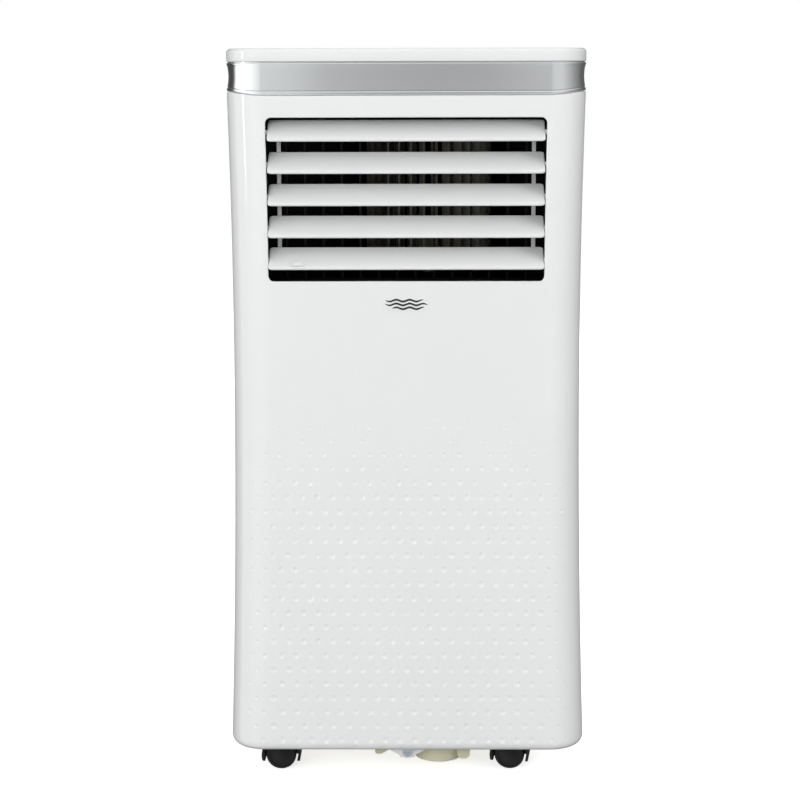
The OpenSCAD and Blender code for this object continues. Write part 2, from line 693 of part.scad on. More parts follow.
// finned block with end plates and return bends, from height z0 to z1
module coil(z0, z1) color("#b9bfc4") {
    translate([-coil_w / 2 + 6, coil_y, z0]) cube([coil_w - 12, coil_t, z1 - z0]);
    for (s = [-1, 1]) translate([s * (coil_w / 2 - 5.5) - 0.75, coil_y - 1, z0])
        cube([1.5, coil_t + 2, z1 - z0]);
    bends = floor((z1 - z0 - 12) / 30);
    for (s = [-1, 1], k = [0:bends - 1])
        translate([s * (coil_w / 2 - 5), coil_y + coil_t / 2, z0 + 20 + k * 30])
            rotate([90, 0, s > 0 ? 0 : 180]) rotate_extrude(angle = 180, start = -90)
                translate([9, 0]) circle(r = 3);
}
module evaporator() coil(deck_z, upper_grille_z + upper_grille_h);
module condenser() coil(socket_top, lower_grille_z + lower_grille_h);

scroll_r = upper_wheel_r + 16;
scroll_wall = 2.4;
module scroll_plan(d) {
    w = duct_half + duct_wall - d;
    y0 = duct_back + guard_t;
    translate([scroll_x, scroll_y]) circle(r = scroll_r - d, $fn = 96);
    polygon([[-w, y0 - (d > 0 ? 1 : 0)], [w, y0 - (d > 0 ? 1 : 0)],
        [scroll_x + scroll_r - d - 0.5, scroll_y], [scroll_x - scroll_r + d + 0.5, scroll_y]]);
}
module upper_scroll() color(black) difference() {
    translate([0, 0, scroll_floor]) linear_extrude(scroll_top - scroll_floor) scroll_plan(0);
    translate([0, 0, duct_floor]) linear_extrude(duct_top - duct_floor) scroll_plan(scroll_wall);
    translate([scroll_x, scroll_y, duct_top - 1]) cylinder(r = upper_wheel_r - 8, h = 10);
    translate([scroll_x, scroll_y, scroll_floor - 1]) cylinder(r = 14, h = 10);
}

// squirrel-cage wheel of radius r and height h standing on z = 0, with its shaft below
module blower_wheel(r, h, shaft) color("#cfcdbb") {
    cylinder(r = r, h = 2.4);
    cylinder(r = 12, h = 22);
    translate([0, 0, -shaft]) cylinder(r = shaft_r, h = shaft + 1);
    translate([0, 0, h - 3]) difference() {
        cylinder(r = r, h = 3);
        translate([0, 0, -1]) cylinder(r = r - 8, h = 5);
    }
    translate([0, 0, 1]) linear_extrude(h - 3) for (i = [0:blower_blades - 1])
        rotate(i * 360 / blower_blades) translate([r - 5.5, 0]) rotate(28)
            square([8.5, 1.3], center = true);
}
shaft_in = 20;
module upper_blower() translate([scroll_x, scroll_y, duct_floor + 8])
    blower_wheel(upper_wheel_r, duct_top - duct_floor - 24, 8 + duct_wall + shaft_in);
module upper_motor() color("#7d8185") translate([scroll_x, scroll_y, deck_z]) difference() {
    union() {
        cylinder(r = 22, h = 12);
        translate([0, 0, 11]) cylinder(r = 36, h = scroll_floor - deck_z - 11);
    }
    translate([0, 0, scroll_floor - deck_z - shaft_in - 2])
        cylinder(r = shaft_r + run_gap, h = shaft_in + 5);
}

lower_scroll_r = lower_wheel_r + 14;
module lower_side(d, past) {
    translate([lower_y, lower_z]) circle(r = lower_scroll_r - d, $fn = 96);
    translate([lower_y, lower_z - 4 + d])
        square([rear_y - collar_back - 3 - lower_y + past, lower_scroll_r + 4 - 2 * d]);
}
module lower_scroll() color("#e4e5e3") difference() {
    union() {
        translate([lower_x - lower_half, 0, 0]) rotate([90, 0, 90])
            linear_extrude(2 * lower_half) lower_side(0, 0);
        for (s = [-1, 1]) translate([lower_x + s * (lower_half - 5) - 3, lower_y - 14, tray_floor])
            cube([6, 28, lower_z - lower_scroll_r - tray_floor + 8]);
    }
    translate([lower_x - lower_half + scroll_wall, 0, 0]) rotate([90, 0, 90])
        linear_extrude(2 * (lower_half - scroll_wall)) lower_side(scroll_wall, 1);
    translate([0, lower_y, lower_z]) bar_x(lower_x, lower_x + lower_half + 1, lower_wheel_r - 10);
    translate([0, lower_y, lower_z]) bar_x(lower_x - lower_half - 1, lower_x, 14);
}
lower_motor_l = 28;
module lower_blower() translate([lower_x - lower_half + 7, lower_y, lower_z]) rotate([0, 90, 0])
    blower_wheel(lower_wheel_r, 2 * lower_half - 14, 7 + shaft_in);
module lower_motor() color("#7d8185") translate([0, lower_y, lower_z]) difference() {
    bar_x(lower_x - lower_half - lower_motor_l, lower_x - lower_half, 34);
    bar_x(lower_x - lower_half - shaft_in - 2, lower_x, shaft_r + run_gap);
}

comp_x = 78;
comp_y = -58;
foot_h = 10;
plate_t = 3;
comp_z = tray_floor + foot_h + plate_t;
foot_reach = compressor_r + 6;
module at_feet() for (a = [30, 150, 270]) translate([comp_x, comp_y, 0]) rotate(a)
    translate([foot_reach, 0, 0]) children();
module compressor() color("#2c2e31") {
    translate([comp_x, comp_y, comp_z]) rotate_extrude()
        polygon([[0, 0], [compressor_r - 12, 0], [compressor_r, 10],
            [compressor_r, compressor_h - 16], [compressor_r - 6, compressor_h - 6],
            [compressor_r - 20, compressor_h], [0, compressor_h]]);
    translate([0, 0, comp_z - plate_t]) linear_extrude(plate_t) hull() at_feet() circle(r = 9.5);
}
module rubber_feet() color("#151515") at_feet() translate([0, 0, tray_floor])
    cylinder(r = 8.5, h = foot_h);
acc_x = 86;
acc_y = 12;
acc_z = 76;
acc_h = 108;
module accumulator() color("#2c2e31") translate([acc_x, acc_y, acc_z]) rotate_extrude()
    polygon([[0, 0], [9, 0], [19, 9], [19, acc_h - 9], [9, acc_h], [0, acc_h]]);

// tube of radius r through points, smoothed by n steps between each pair
function unit(v) = v / norm(v);
function spline(p, i, t) = let (a = p[max(i - 1, 0)], b = p[i], c = p[i + 1],
        d = p[min(i + 2, len(p) - 1)])
    0.5 * (2 * b + (c - a) * t + (2 * a - 5 * b + 4 * c - d) * t * t
        + (3 * b - a - 3 * c + d) * t * t * t);
function smooth(p, n) = concat([for (i = [0:len(p) - 2]) for (k = [0:n - 1]) spline(p, i, k / n)],
    [p[len(p) - 1]]);
function sides_of(p, i = 0, prev = [1, 0.2, 0.1]) = let (
        t = unit(p[min(i + 1, len(p) - 1)] - p[max(i - 1, 0)]), u = unit(prev - (prev * t) * t))
    i == len(p) - 1 ? [[u, cross(t, u)]] : concat([[u, cross(t, u)]], sides_of(p, i + 1, u));
module tube(points, r, n = 4, around = 8) {
    p = smooth(points, n);
    f = sides_of(p);
    m = len(p);
    polyhedron([for (i = [0:m - 1]) for (k = [0:around - 1]) let (a = k * 360 / around)
            p[i] + r * (cos(a) * f[i][0] + sin(a) * f[i][1])],
        concat([[for (k = [0:around - 1]) k]],
            [[for (k = [around - 1:-1:0]) (m - 1) * around + k]],
            [for (i = [0:m - 2]) for (k = [0:around - 1]) let (j = (k + 1) % around)
                each [[i * around + k, (i + 1) * around + k, i * around + j],
                    [i * around + j, (i + 1) * around + k, (i + 1) * around + j]]]));
}
module refrigerant_pipes() color("#b87333") {
    comp_top = comp_z + compressor_h;
    pipe_x = coil_w / 2 + 1;
    // compressor to condenser
    tube([[comp_x, comp_y, comp_top - 4], [comp_x, comp_y, comp_top + 20], [95, -40, comp_top + 36],
        [116, 0, comp_top + 30], [122, 50, 225], [124, pipe_y - 18, 195],
        [pipe_x, pipe_y, 180]], 3.5);
    // evaporator to accumulator
    tube([[pipe_x, pipe_y, deck_z + 34], [124, pipe_y - 4, deck_z + 24],
        [riser_x, riser_y, deck_z + 6], [126, riser_y - 9, deck_z - 30], [116, 50, 280],
        [94, 18, 225], [acc_x, acc_y, 205], [acc_x, acc_y, acc_z + acc_h - 4]], 5);
    // condenser to evaporator
    tube([[-pipe_x, pipe_y, 80], [-124, pipe_y - 4, 92], [-riser_x, riser_y, 130],
        [-riser_x, riser_y, 240], [-riser_x, riser_y, deck_z], [-124, pipe_y - 4, deck_z + 40],
        [-pipe_x, pipe_y, deck_z + 60]], 2.5);
}

// folded sheet box, open on its inner side, with the starting capacitor in it
box_x = -137;
box_y = -115;
box_z = 150;
box_w = 34;
box_d = 96;
sheet_t = 2;
module control_box() color("#c9cccd") translate([box_x, box_y, box_z]) difference() {
    cube([box_w, box_d, deck_z - deck_t - box_z]);
    translate([sheet_t, sheet_t, sheet_t])
        cube([box_w, box_d - 2 * sheet_t, deck_z - deck_t - box_z - 2 * sheet_t]);
}
module capacitor() color("#e6e6e2")
    translate([box_x + 25, box_y + 25, box_z + 20]) cylinder(r = 16, h = 62);

front_panel();
rear_casing();
trim_band();
top_cap();
badge();
control_panel();
display_window();
control_board();
button(0);  // power_button
button(1);  // mode_button
button(2);  // fan_button
button(3);  // timer_button
button(4);  // cooler_button
button(5);  // warmer_button
outlet_duct();
guard_grille();
louvre(0);  // louvre_1
louvre(1);  // louvre_2
louvre(2);  // louvre_3
louvre(3);  // louvre_4
louvre(4);  // louvre_5
link_bar(-1);  // link_bar_left
link_bar(1);  // link_bar_right
inlet_grille(upper_grille_z, upper_grille_h);  // upper_inlet_grille
inlet_filter(upper_grille_z, upper_grille_h);  // upper_filter
inlet_grille(lower_grille_z, lower_grille_h);  // lower_inlet_grille
inlet_filter(lower_grille_z, lower_grille_h);  // lower_filter
exhaust_collar();
grip(-1);  // grip_left
grip(1);  // grip_right
cord_gland();
drain_spout();
drain_plug();
base_tray();
tab_screw();
casing_screws();
caster_at(-1, caster_ys[0]);  // caster_front_left
caster_at(1, caster_ys[0], front_right_turn);  // caster_front_right
caster_at(-1, caster_ys[1]);  // caster_rear_left
caster_at(1, caster_ys[1]);  // caster_rear_right
wheel_at(-1, caster_ys[0]);  // wheel_front_left
wheel_at(1, caster_ys[0], front_right_turn);  // wheel_front_right
wheel_at(-1, caster_ys[1]);  // wheel_rear_left
wheel_at(1, caster_ys[1]);  // wheel_rear_right
drip_deck();
evaporator();
condenser();
upper_scroll();
upper_blower();
upper_motor();
lower_scroll();
lower_blower();
lower_motor();
compressor();
accumulator();
rubber_feet();
refrigerant_pipes();
control_box();
capacitor();
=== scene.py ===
import json
import math

import bmesh
import bpy
import numpy as np
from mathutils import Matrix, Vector
from mathutils.geometry import delaunay_2d_cdt

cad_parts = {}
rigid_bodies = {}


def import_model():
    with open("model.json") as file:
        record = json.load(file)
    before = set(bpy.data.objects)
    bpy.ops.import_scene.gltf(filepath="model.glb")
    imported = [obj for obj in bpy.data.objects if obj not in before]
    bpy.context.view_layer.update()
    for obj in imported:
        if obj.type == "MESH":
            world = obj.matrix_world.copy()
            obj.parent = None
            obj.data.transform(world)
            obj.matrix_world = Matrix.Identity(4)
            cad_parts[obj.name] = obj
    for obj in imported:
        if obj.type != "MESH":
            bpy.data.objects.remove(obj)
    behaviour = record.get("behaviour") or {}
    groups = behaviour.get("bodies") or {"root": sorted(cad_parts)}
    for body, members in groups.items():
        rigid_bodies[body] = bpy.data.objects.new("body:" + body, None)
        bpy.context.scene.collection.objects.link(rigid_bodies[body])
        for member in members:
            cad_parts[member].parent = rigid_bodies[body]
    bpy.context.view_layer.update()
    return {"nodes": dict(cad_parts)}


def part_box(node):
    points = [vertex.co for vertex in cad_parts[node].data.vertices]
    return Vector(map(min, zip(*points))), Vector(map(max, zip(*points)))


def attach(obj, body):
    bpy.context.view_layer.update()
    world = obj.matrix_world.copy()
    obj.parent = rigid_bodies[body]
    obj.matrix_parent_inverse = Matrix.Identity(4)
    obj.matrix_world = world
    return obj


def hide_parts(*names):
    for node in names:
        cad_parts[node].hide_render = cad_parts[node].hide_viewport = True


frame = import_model()
mm = 0.001
print("frame loaded")

# camera
view = {
    "distance": 1.600,      # lens to the front face, along the floor
    "height": 0.600,        # lens above the floor
    "side": 0.012,          # lens to the right of the middle plane
    "pitch": 9.547,         # degrees below level
    "roll": 0.14,
    "yaw": 0.598,
    "lens": 88.75,          # millimetres, as the sensor is
    "sensor": 36.0,
}


def addCamera(v):
    # the lens stands off the front panel by the distance and is turned by pitch, roll and yaw
    data = bpy.data.cameras.new("camera")
    data.lens = v["lens"]
    data.sensor_width = v["sensor"]
    cam = bpy.data.objects.new("camera", data)
    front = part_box("front_panel")[0].y
    cam.location = (v["side"], front - v["distance"], v["height"])
    cam.rotation_mode = "XYZ"
    cam.rotation_euler = [math.radians(a) for a in (90 - v["pitch"], v["roll"], v["yaw"])]
    bpy.context.scene.collection.objects.link(cam)
    bpy.context.scene.camera = cam


addCamera(view)


# soft studio light
def addArea(name, place, aim, size, power):
    # a rectangular lamp at the place, turned so that it faces the aim
    data = bpy.data.lights.new(name, "AREA")
    data.shape = "RECTANGLE"
    data.size, data.size_y = size
    data.energy = power
    lamp = bpy.data.objects.new(name, data)
    lamp.location = place
    lamp.rotation_euler = (Vector(aim) - Vector(place)).to_track_quat("-Z", "Y").to_euler()
    bpy.context.scene.collection.objects.link(lamp)
    return lamp


# each lamp: place, aim, width and height in metres, watts, seen in reflections
lights = {
    "front card": ((-0.85, -2.45, 0.84), (0, -0.15, 0.36), (1.9, 1.1), 27, False),
    "left strip": ((-1.62, -0.85, 0.95), (-0.12, -0.12, 0.60), (0.10, 1.15), 4.0, True),
    "right card": ((1.75, -1.25, 0.85), (0, -0.1, 0.33), (1.0, 1.2), 18, False),
    "rear card": ((1.10, 2.60, 1.25), (0, 0.1, 0.33), (1.7, 1.3), 34, False),
    "overhead": ((0.0, 0.2, 2.3), (0, 0.1, 0), (2.2, 2.0), 8, False),
}
for name, (place, aim, size, power, shiny) in lights.items():
    addArea(name, place, aim, size, power).visible_glossy = shiny

# the room by azimuth from the front in degrees (left is negative) and its brightness there
room = {
    "around": ((-180, 0.14), (-122, 0.07), (-108, 0.12), (-97, 1.55), (-48, 1.60), (-30, 1.35), (-14, 1.15),
               (-5, 0.84), (-3.5, 0.60), (0, 0.41), (2.5, 0.45), (5, 0.64), (9, 0.80), (14, 0.86),
               (40, 0.86), (62, 0.66), (80, 0.48), (98, 0.34), (128, 0.14), (180, 0.14)),
    "matt": 0.34,           # share of it that matt surfaces receive
    "sky": 1.25,            # straight up
    "skyFrom": 0.35,        # sine of the elevation where the sky begins to take over
    "skyFull": 0.95,        # and where it has done so
}


def add(tree, kind, sockets=None, **settings):
    # one node with its settings; a socket value is a number, a colour or another node's output
    made = tree.nodes.new(kind)
    for key, value in settings.items():
        setattr(made, key, value)
    for key, value in (sockets or {}).items():
        if isinstance(value, bpy.types.NodeSocket):
            tree.links.new(value, made.inputs[key])
        else:
            made.inputs[key].default_value = value
    return made


def addRoom(r):
    # brightness = mix(around(azimuth), sky, smooth step of the direction's height); the backdrop
    # itself is plain white, and matt surfaces receive their share of the room only
    world = bpy.data.worlds.new("studio")
    world.use_nodes = True
    tree = world.node_tree
    tree.nodes.clear()
    turned = add(tree, "ShaderNodeTexCoord").outputs["Generated"]
    split = add(tree, "ShaderNodeSeparateXYZ", {0: turned}).outputs
    back = add(tree, "ShaderNodeMath", {0: split["Y"], 1: -1.0}, operation="MULTIPLY").outputs[0]
    azimuth = add(tree, "ShaderNodeMath", {0: split["X"], 1: back}, operation="ARCTAN2").outputs[0]
    part = add(tree, "ShaderNodeMapRange", {"Value": azimuth, "From Min": -math.pi, "From Max": math.pi})
    ramp = add(tree, "ShaderNodeValToRGB", {"Fac": part.outputs["Result"]})
    stops = ramp.color_ramp.elements
    for degrees, level in r["around"]:
        place = (degrees + 180) / 360
        stop = stops[0] if degrees == -180 else stops[-1] if degrees == 180 else stops.new(place)
        stop.position = place
        stop.color = (level, level, level, 1)
    high = add(tree, "ShaderNodeMapRange", {"Value": split["Z"], "From Min": r["skyFrom"],
                                               "From Max": r["skyFull"]},
               interpolation_type="SMOOTHSTEP")
    sky = (r["sky"],) * 3 + (1,)
    glow = add(tree, "ShaderNodeMix", {0: high.outputs["Result"], 6: ramp.outputs["Color"], 7: sky},
               data_type="RGBA")
    path = add(tree, "ShaderNodeLightPath").outputs
    plain = add(tree, "ShaderNodeMix", {0: path["Is Camera Ray"], 6: glow.outputs[2], 7: (1, 1, 1, 1)},
                data_type="RGBA")
    matt = add(tree, "ShaderNodeMapRange", {"Value": path["Is Diffuse Ray"], "To Min": 1.0,
                                            "To Max": r["matt"]})
    shade = add(tree, "ShaderNodeBackground", {"Color": plain.outputs[2],
                                               "Strength": matt.outputs["Result"]})
    out = tree.nodes.new("ShaderNodeOutputWorld")
    tree.links.new(shade.outputs[0], out.inputs["Surface"])
    bpy.context.scene.world = world


addRoom(room)
bpy.context.scene.view_settings.view_transform = "Standard"
print("camera and light")


# materials
def hexColour(text, alpha=1.0):
    # sRGB hex to linear: (c + 0.055) / 1.055 to the power 2.4, or c / 12.92 near black
    out = []
    for k in (1, 3, 5):
        c = int(text[k:k + 2], 16) / 255
        out.append(c / 12.92 if c <= 0.04045 else ((c + 0.055) / 1.055) ** 2.4)
    return (*out, alpha)


def newMaterial(name):
    # an empty node tree under the finish's name
    made = bpy.data.materials.new(name)
    made.use_nodes = True
    made.node_tree.nodes.clear()
    return made, made.node_tree


def finishMaterial(tree, shader):
    # the shader goes to the surface
    out = tree.nodes.new("ShaderNodeOutputMaterial")
    tree.links.new(shader.outputs[0], out.inputs["Surface"])


def mouldedPlastic(name, light, dark, rough, grain=1.6, bump=0.006, ior=1.53, coat=0.0,
                   roughSpread=0.05, cloud=60, glow=0.0):
    # colour drifts between two close tones over clouds of "cloud" mm; a grain of "grain" mm
    # gives the surface the faint ripple of a moulded part, and the gloss varies a little; glow
    # is light of the surface's own, which only the floor has
    made, tree = newMaterial(name)
    place = add(tree, "ShaderNodeTexCoord").outputs["Object"]
    clouds = add(tree, "ShaderNodeTexNoise", {"Vector": place, "Scale": 1000 / cloud, "Detail": 2.0})
    tone = add(tree, "ShaderNodeMix", {0: clouds.outputs["Fac"], 6: hexColour(light),
                                       7: hexColour(dark)}, data_type="RGBA")
    fine = add(tree, "ShaderNodeTexNoise", {"Vector": place, "Scale": 1000 / grain, "Detail": 1.0})
    gloss = add(tree, "ShaderNodeMapRange", {"Value": clouds.outputs["Fac"],
                                             "To Min": rough - roughSpread / 2,
                                             "To Max": rough + roughSpread / 2})
    relief = add(tree, "ShaderNodeBump", {"Height": fine.outputs["Fac"], "Strength": 1.0,
                                          "Distance": bump * mm})
    shader = add(tree, "ShaderNodeBsdfPrincipled", {
        "Base Color": tone.outputs[2], "Roughness": gloss.outputs["Result"],
        "Normal": relief.outputs["Normal"], "IOR": ior, "Coat Weight": coat,
        "Coat Roughness": 0.05, "Emission Color": tone.outputs[2], "Emission Strength": glow})
    finishMaterial(tree, shader)
    return made


def brushedMetal(name, light, dark, rough, grain=(0.4, 0.4, 0.4), bump=0.002, coat=0.0, cloud=40):
    # a metal whose tone drifts a little, with a grain stretched by the three lengths in mm
    made, tree = newMaterial(name)
    place = add(tree, "ShaderNodeTexCoord").outputs["Object"]
    clouds = add(tree, "ShaderNodeTexNoise", {"Vector": place, "Scale": 1000 / cloud, "Detail": 2.0})
    tone = add(tree, "ShaderNodeMix", {0: clouds.outputs["Fac"], 6: hexColour(light),
                                       7: hexColour(dark)}, data_type="RGBA")
    lay = add(tree, "ShaderNodeMapping", {"Vector": place, "Scale": tuple(1 / g for g in grain)})
    fine = add(tree, "ShaderNodeTexNoise", {"Vector": lay.outputs["Vector"], "Scale": 1000.0, "Detail": 1.0})
    gloss = add(tree, "ShaderNodeMapRange", {"Value": fine.outputs["Fac"], "To Min": rough - 0.03,
                                             "To Max": rough + 0.03})
    relief = add(tree, "ShaderNodeBump", {"Height": fine.outputs["Fac"], "Strength": 1.0,
                                          "Distance": bump * mm})
    shader = add(tree, "ShaderNodeBsdfPrincipled", {
        "Base Color": tone.outputs[2], "Metallic": 1.0, "Roughness": gloss.outputs["Result"],
        "Normal": relief.outputs["Normal"], "Coat Weight": coat, "Coat Roughness": 0.06})
    finishMaterial(tree, shader)
    return made


def wovenMesh(name, light, dark, pitch):
    # nylon filter cloth: threads cross every "pitch" mm, bright on the thread and dark between
    made, tree = newMaterial(name)
    place = add(tree, "ShaderNodeTexCoord").outputs["Object"]
    split = add(tree, "ShaderNodeSeparateXYZ", {"Vector": place})
    waves = []
    for axis in ("X", "Z"):
        turns = add(tree, "ShaderNodeMath", {0: split.outputs[axis], 1: math.pi * 1000 / pitch},
                    operation="MULTIPLY")
        wave = add(tree, "ShaderNodeMath", {0: turns.outputs[0]}, operation="SINE")
        waves.append(add(tree, "ShaderNodeMath", {0: wave.outputs[0]}, operation="ABSOLUTE"))
    cross = add(tree, "ShaderNodeMath", {0: waves[0].outputs[0], 1: waves[1].outputs[0]},
                operation="MAXIMUM")
    thread = add(tree, "ShaderNodeMapRange", {"Value": cross.outputs[0], "From Min": 0.75,
                                              "From Max": 0.95})
    tone = add(tree, "ShaderNodeMix", {0: thread.outputs["Result"], 6: hexColour(dark),
                                       7: hexColour(light)}, data_type="RGBA")
    relief = add(tree, "ShaderNodeBump", {"Height": thread.outputs["Result"], "Strength": 1.0,
                                          "Distance": 0.3 * mm})
    shader = add(tree, "ShaderNodeBsdfPrincipled", {
        "Base Color": tone.outputs[2], "Roughness": 0.7, "Normal": relief.outputs["Normal"]})
    finishMaterial(tree, shader)
    return made


finishes = {
    # gloss ABS casing, injection moulded: near white, with clear reflections and a faint ripple
    "whiteAbs": mouldedPlastic("moulded white ABS", "#EDEEED", "#E9EBEB", 0.13, 9.0, 0.004),
    # louvres of the same ABS from a finer tool, a little greyer and less glossy
    "louvreAbs": mouldedPlastic("satin white ABS", "#ECEDEC", "#E7E9E9", 0.42, 2.5, 0.006),
    # side grips with a fine spark texture, so they hide finger marks
    "sparkAbs": mouldedPlastic("spark textured white ABS", "#E8E9E8", "#E0E2E1", 0.5, 0.9, 0.03),
    # silver lacquer over plastic: metal flakes under a thin clear coat, bright and nearly smooth
    "silverPaint": brushedMetal("silver lacquer", "#DCDEDF", "#D3D6D8", 0.17, (0.5, 0.5, 0.5), 0.0006,
                                0.2),
    # printed mark under clear lacquer: near black with a dull shine
    "badgeInk": mouldedPlastic("printed badge", "#1D1F21", "#141517", 0.35, 0.8, 0.004),
    # piano black inlay: deep black with sharp reflections
    "pianoBlack": mouldedPlastic("piano black acrylic", "#08090A", "#0C0D0F", 0.08, 12.0, 0.002, coat=0.4),
    # smoked display lens: almost black, with a glossy face
    "smokedLens": mouldedPlastic("smoked lens", "#11161A", "#0B0F12", 0.05, 10.0, 0.001),
    # solder mask on the board: deep green with copper hidden below
    "solderMask": mouldedPlastic("solder mask", "#1F5B33", "#174626", 0.35, 1.5, 0.01),
    # soft touch lacquer on the button caps: pale grey, almost without shine
    "softGrey": mouldedPlastic("soft touch grey", "#C9CBCC", "#BEC1C2", 0.55, 0.8, 0.01),
    # duct, guard and upper scroll of moulded black ABS: matt, drinks the light
    "ductAbs": mouldedPlastic("matt black ABS", "#070707", "#040404", 0.7, 1.2, 0.015, ior=1.3),
    # link bars of grey nylon, waxy
    "greyNylon": mouldedPlastic("grey nylon", "#C9CBCC", "#BCBEC0", 0.4, 1.0, 0.01),
    # inlet grilles of the casing's ABS from a satin tool: white without clear reflections
    "grilleAbs": mouldedPlastic("satin grille ABS", "#E6E7E6", "#DDDFDE", 0.45, 1.4, 0.01),
    # filter cloth of woven nylon: dark grey with a fine square weave
    "filterNylon": wovenMesh("woven nylon filter", "#3C4044", "#0E0F11", 1.6),
    # exhaust collar and drain spout of moulded ABS: light grey, satin
    "lightGreyAbs": mouldedPlastic("light grey ABS", "#D2D4D4", "#C6C9C9", 0.4, 1.4, 0.01),
    # rubber gland and plug: black, dull, slightly dusty
    "dullRubber": mouldedPlastic("moulded rubber", "#1A1A1B", "#242425", 0.75, 0.7, 0.02),
    # base tray of unpainted ABS: warm beige and a little waxy
    "beigeAbs": mouldedPlastic("natural beige ABS", "#DEDBC0", "#D2CEB0", 0.4, 2.0, 0.012),
    # zinc plated screws: bright with a bluish cast
    "zincSteel": brushedMetal("blue zinc plate", "#D3DAE2", "#B4BDC9", 0.24, (0.3, 0.3, 0.3), 0.004),
    # caster nylon: black, semi gloss with a fine grain
    "casterNylon": mouldedPlastic("black nylon", "#0A0A0B", "#060606", 0.45, 0.9, 0.02, ior=1.35),
    # treads of moulded nylon, a little duller than the casters
    "treadNylon": mouldedPlastic("black tread nylon", "#0B0B0C", "#070707", 0.6, 0.8, 0.02, ior=1.35),
    # deck and lower scroll of moulded polystyrene: chalky white with a beady surface
    "deckPs": mouldedPlastic("white expanded tray", "#E3E4E2", "#D5D6D3", 0.6, 2.2, 0.05),
    # blower wheels of moulded filled plastic: their own brown-grey tone, darkened further as painted shade
    # so they stay dim in the duct
    "blowerPaintedShadePlastic": mouldedPlastic("blower plastic with painted shade", "#5E5B50", "#4F4C43", 0.45, 1.0, 0.01),
    # sprayed enamel on the motors: mid grey with a thin gloss
    "greyEnamel": mouldedPlastic("grey enamel", "#7C8084", "#70747A", 0.35, 1.6, 0.01, coat=0.2),
    # heat exchangers: packed aluminium fins, drawn as an upright grain as coarse as shows
    "finAluminium": brushedMetal("aluminium fin pack", "#C6CBCE", "#AEB4B8", 0.38, (0.8, 60, 60), 0.25),
    # stoved enamel on the compressor: black with a smooth gloss
    "blackEnamel": mouldedPlastic("black enamel", "#17181A", "#1F2123", 0.28, 3.0, 0.01, coat=0.3),
    # drawn copper pipe: warm, with a fine grain along it
    "drawnCopper": brushedMetal("drawn copper", "#D08A5B", "#B87049", 0.3, (0.5, 3, 0.5), 0.004),
    # dipped zinc on sheet steel: grey with cloudy spangle
    "galvanised": brushedMetal("galvanised sheet", "#B9BEC2", "#A3A9AE", 0.42, (4, 4, 4), 0.01, cloud=14),
    # drawn aluminium: light grey with a grain along the can
    "drawnCan": brushedMetal("drawn aluminium can", "#CDD0D2", "#BABEC1", 0.3, (0.4, 0.4, 30), 0.003),
}

nodeFinish = {
    "front_panel": "whiteAbs", "rear_casing": "whiteAbs", "top_cap": "whiteAbs",
    "trim_band": "silverPaint", "badge": "badgeInk", "control_panel": "pianoBlack",
    "display_window": "smokedLens", "control_board": "solderMask", "outlet_duct": "ductAbs",
    "guard_grille": "ductAbs", "link_bar_left": "greyNylon", "link_bar_right": "greyNylon",
    "upper_inlet_grille": "grilleAbs", "lower_inlet_grille": "grilleAbs",
    "upper_filter": "filterNylon", "lower_filter": "filterNylon",
    "exhaust_collar": "lightGreyAbs", "grip_left": "sparkAbs", "grip_right": "sparkAbs",
    "cord_gland": "dullRubber", "drain_spout": "lightGreyAbs", "drain_plug": "dullRubber",
    "base_tray": "beigeAbs", "tab_screw": "zincSteel", "casing_screws": "zincSteel",
    "drip_deck": "deckPs", "evaporator": "finAluminium", "condenser": "finAluminium",
    # the blower wheels' finish carries painted shade for the duct
    "upper_scroll": "ductAbs", "lower_scroll": "deckPs", "upper_blower": "blowerPaintedShadePlastic",
    "lower_blower": "blowerPaintedShadePlastic", "upper_motor": "greyEnamel", "lower_motor": "greyEnamel",
    "compressor": "blackEnamel", "accumulator": "blackEnamel", "rubber_feet": "dullRubber",
    "refrigerant_pipes": "drawnCopper", "control_box": "galvanised", "capacitor": "drawnCan",
}
for row in frame["nodes"]:
    if row.startswith("louvre_"):
        nodeFinish[row] = "louvreAbs"
    if row.endswith("_button"):
        nodeFinish[row] = "softGrey"
    if row.startswith("caster_"):
        nodeFinish[row] = "casterNylon"
    if row.startswith("wheel_"):
        nodeFinish[row] = "treadNylon"


def dress(obj, finish):
    # the finish becomes the object's only material
    obj.data.materials.clear()
    obj.data.materials.append(finishes[finish])


for row, finish in nodeFinish.items():
    dress(bpy.data.objects[row], finish)
print("materials on", len(nodeFinish), "packed pieces")

# mesh tools: a part is (points, [face index arrays]), in millimetres
def weave(rings, closed=False, caps=True):
    # rings is [ring, point, xyz]; each ring is joined to the next by quads, the last to the
    # first if closed, or each end is covered by one flat face
    rings = np.asarray(rings, float)
    count, size = rings.shape[:2]
    k = np.arange(count if closed else count - 1)[:, None]
    i = np.arange(size)[None, :]
    nextK = (k + 1) % count
    nextI = (i + 1) % size
    quads = np.stack([k * size + i, k * size + nextI, nextK * size + nextI, nextK * size + i], -1)
    faces = [quads.reshape(-1, 4)]
    if caps and not closed:
        faces.append(np.arange(size)[::-1][None, :])
        faces.append((np.arange(size) + (count - 1) * size)[None, :])
    return rings.reshape(-1, 3), faces


def joined(parts):
    # the parts' points one after another, with each part's faces counted on from there
    points = []
    faces = []
    base = 0
    for verts, polys in parts:
        points.append(verts)
        faces += [p + base for p in polys]
        base += len(verts)
    return np.concatenate(points), faces


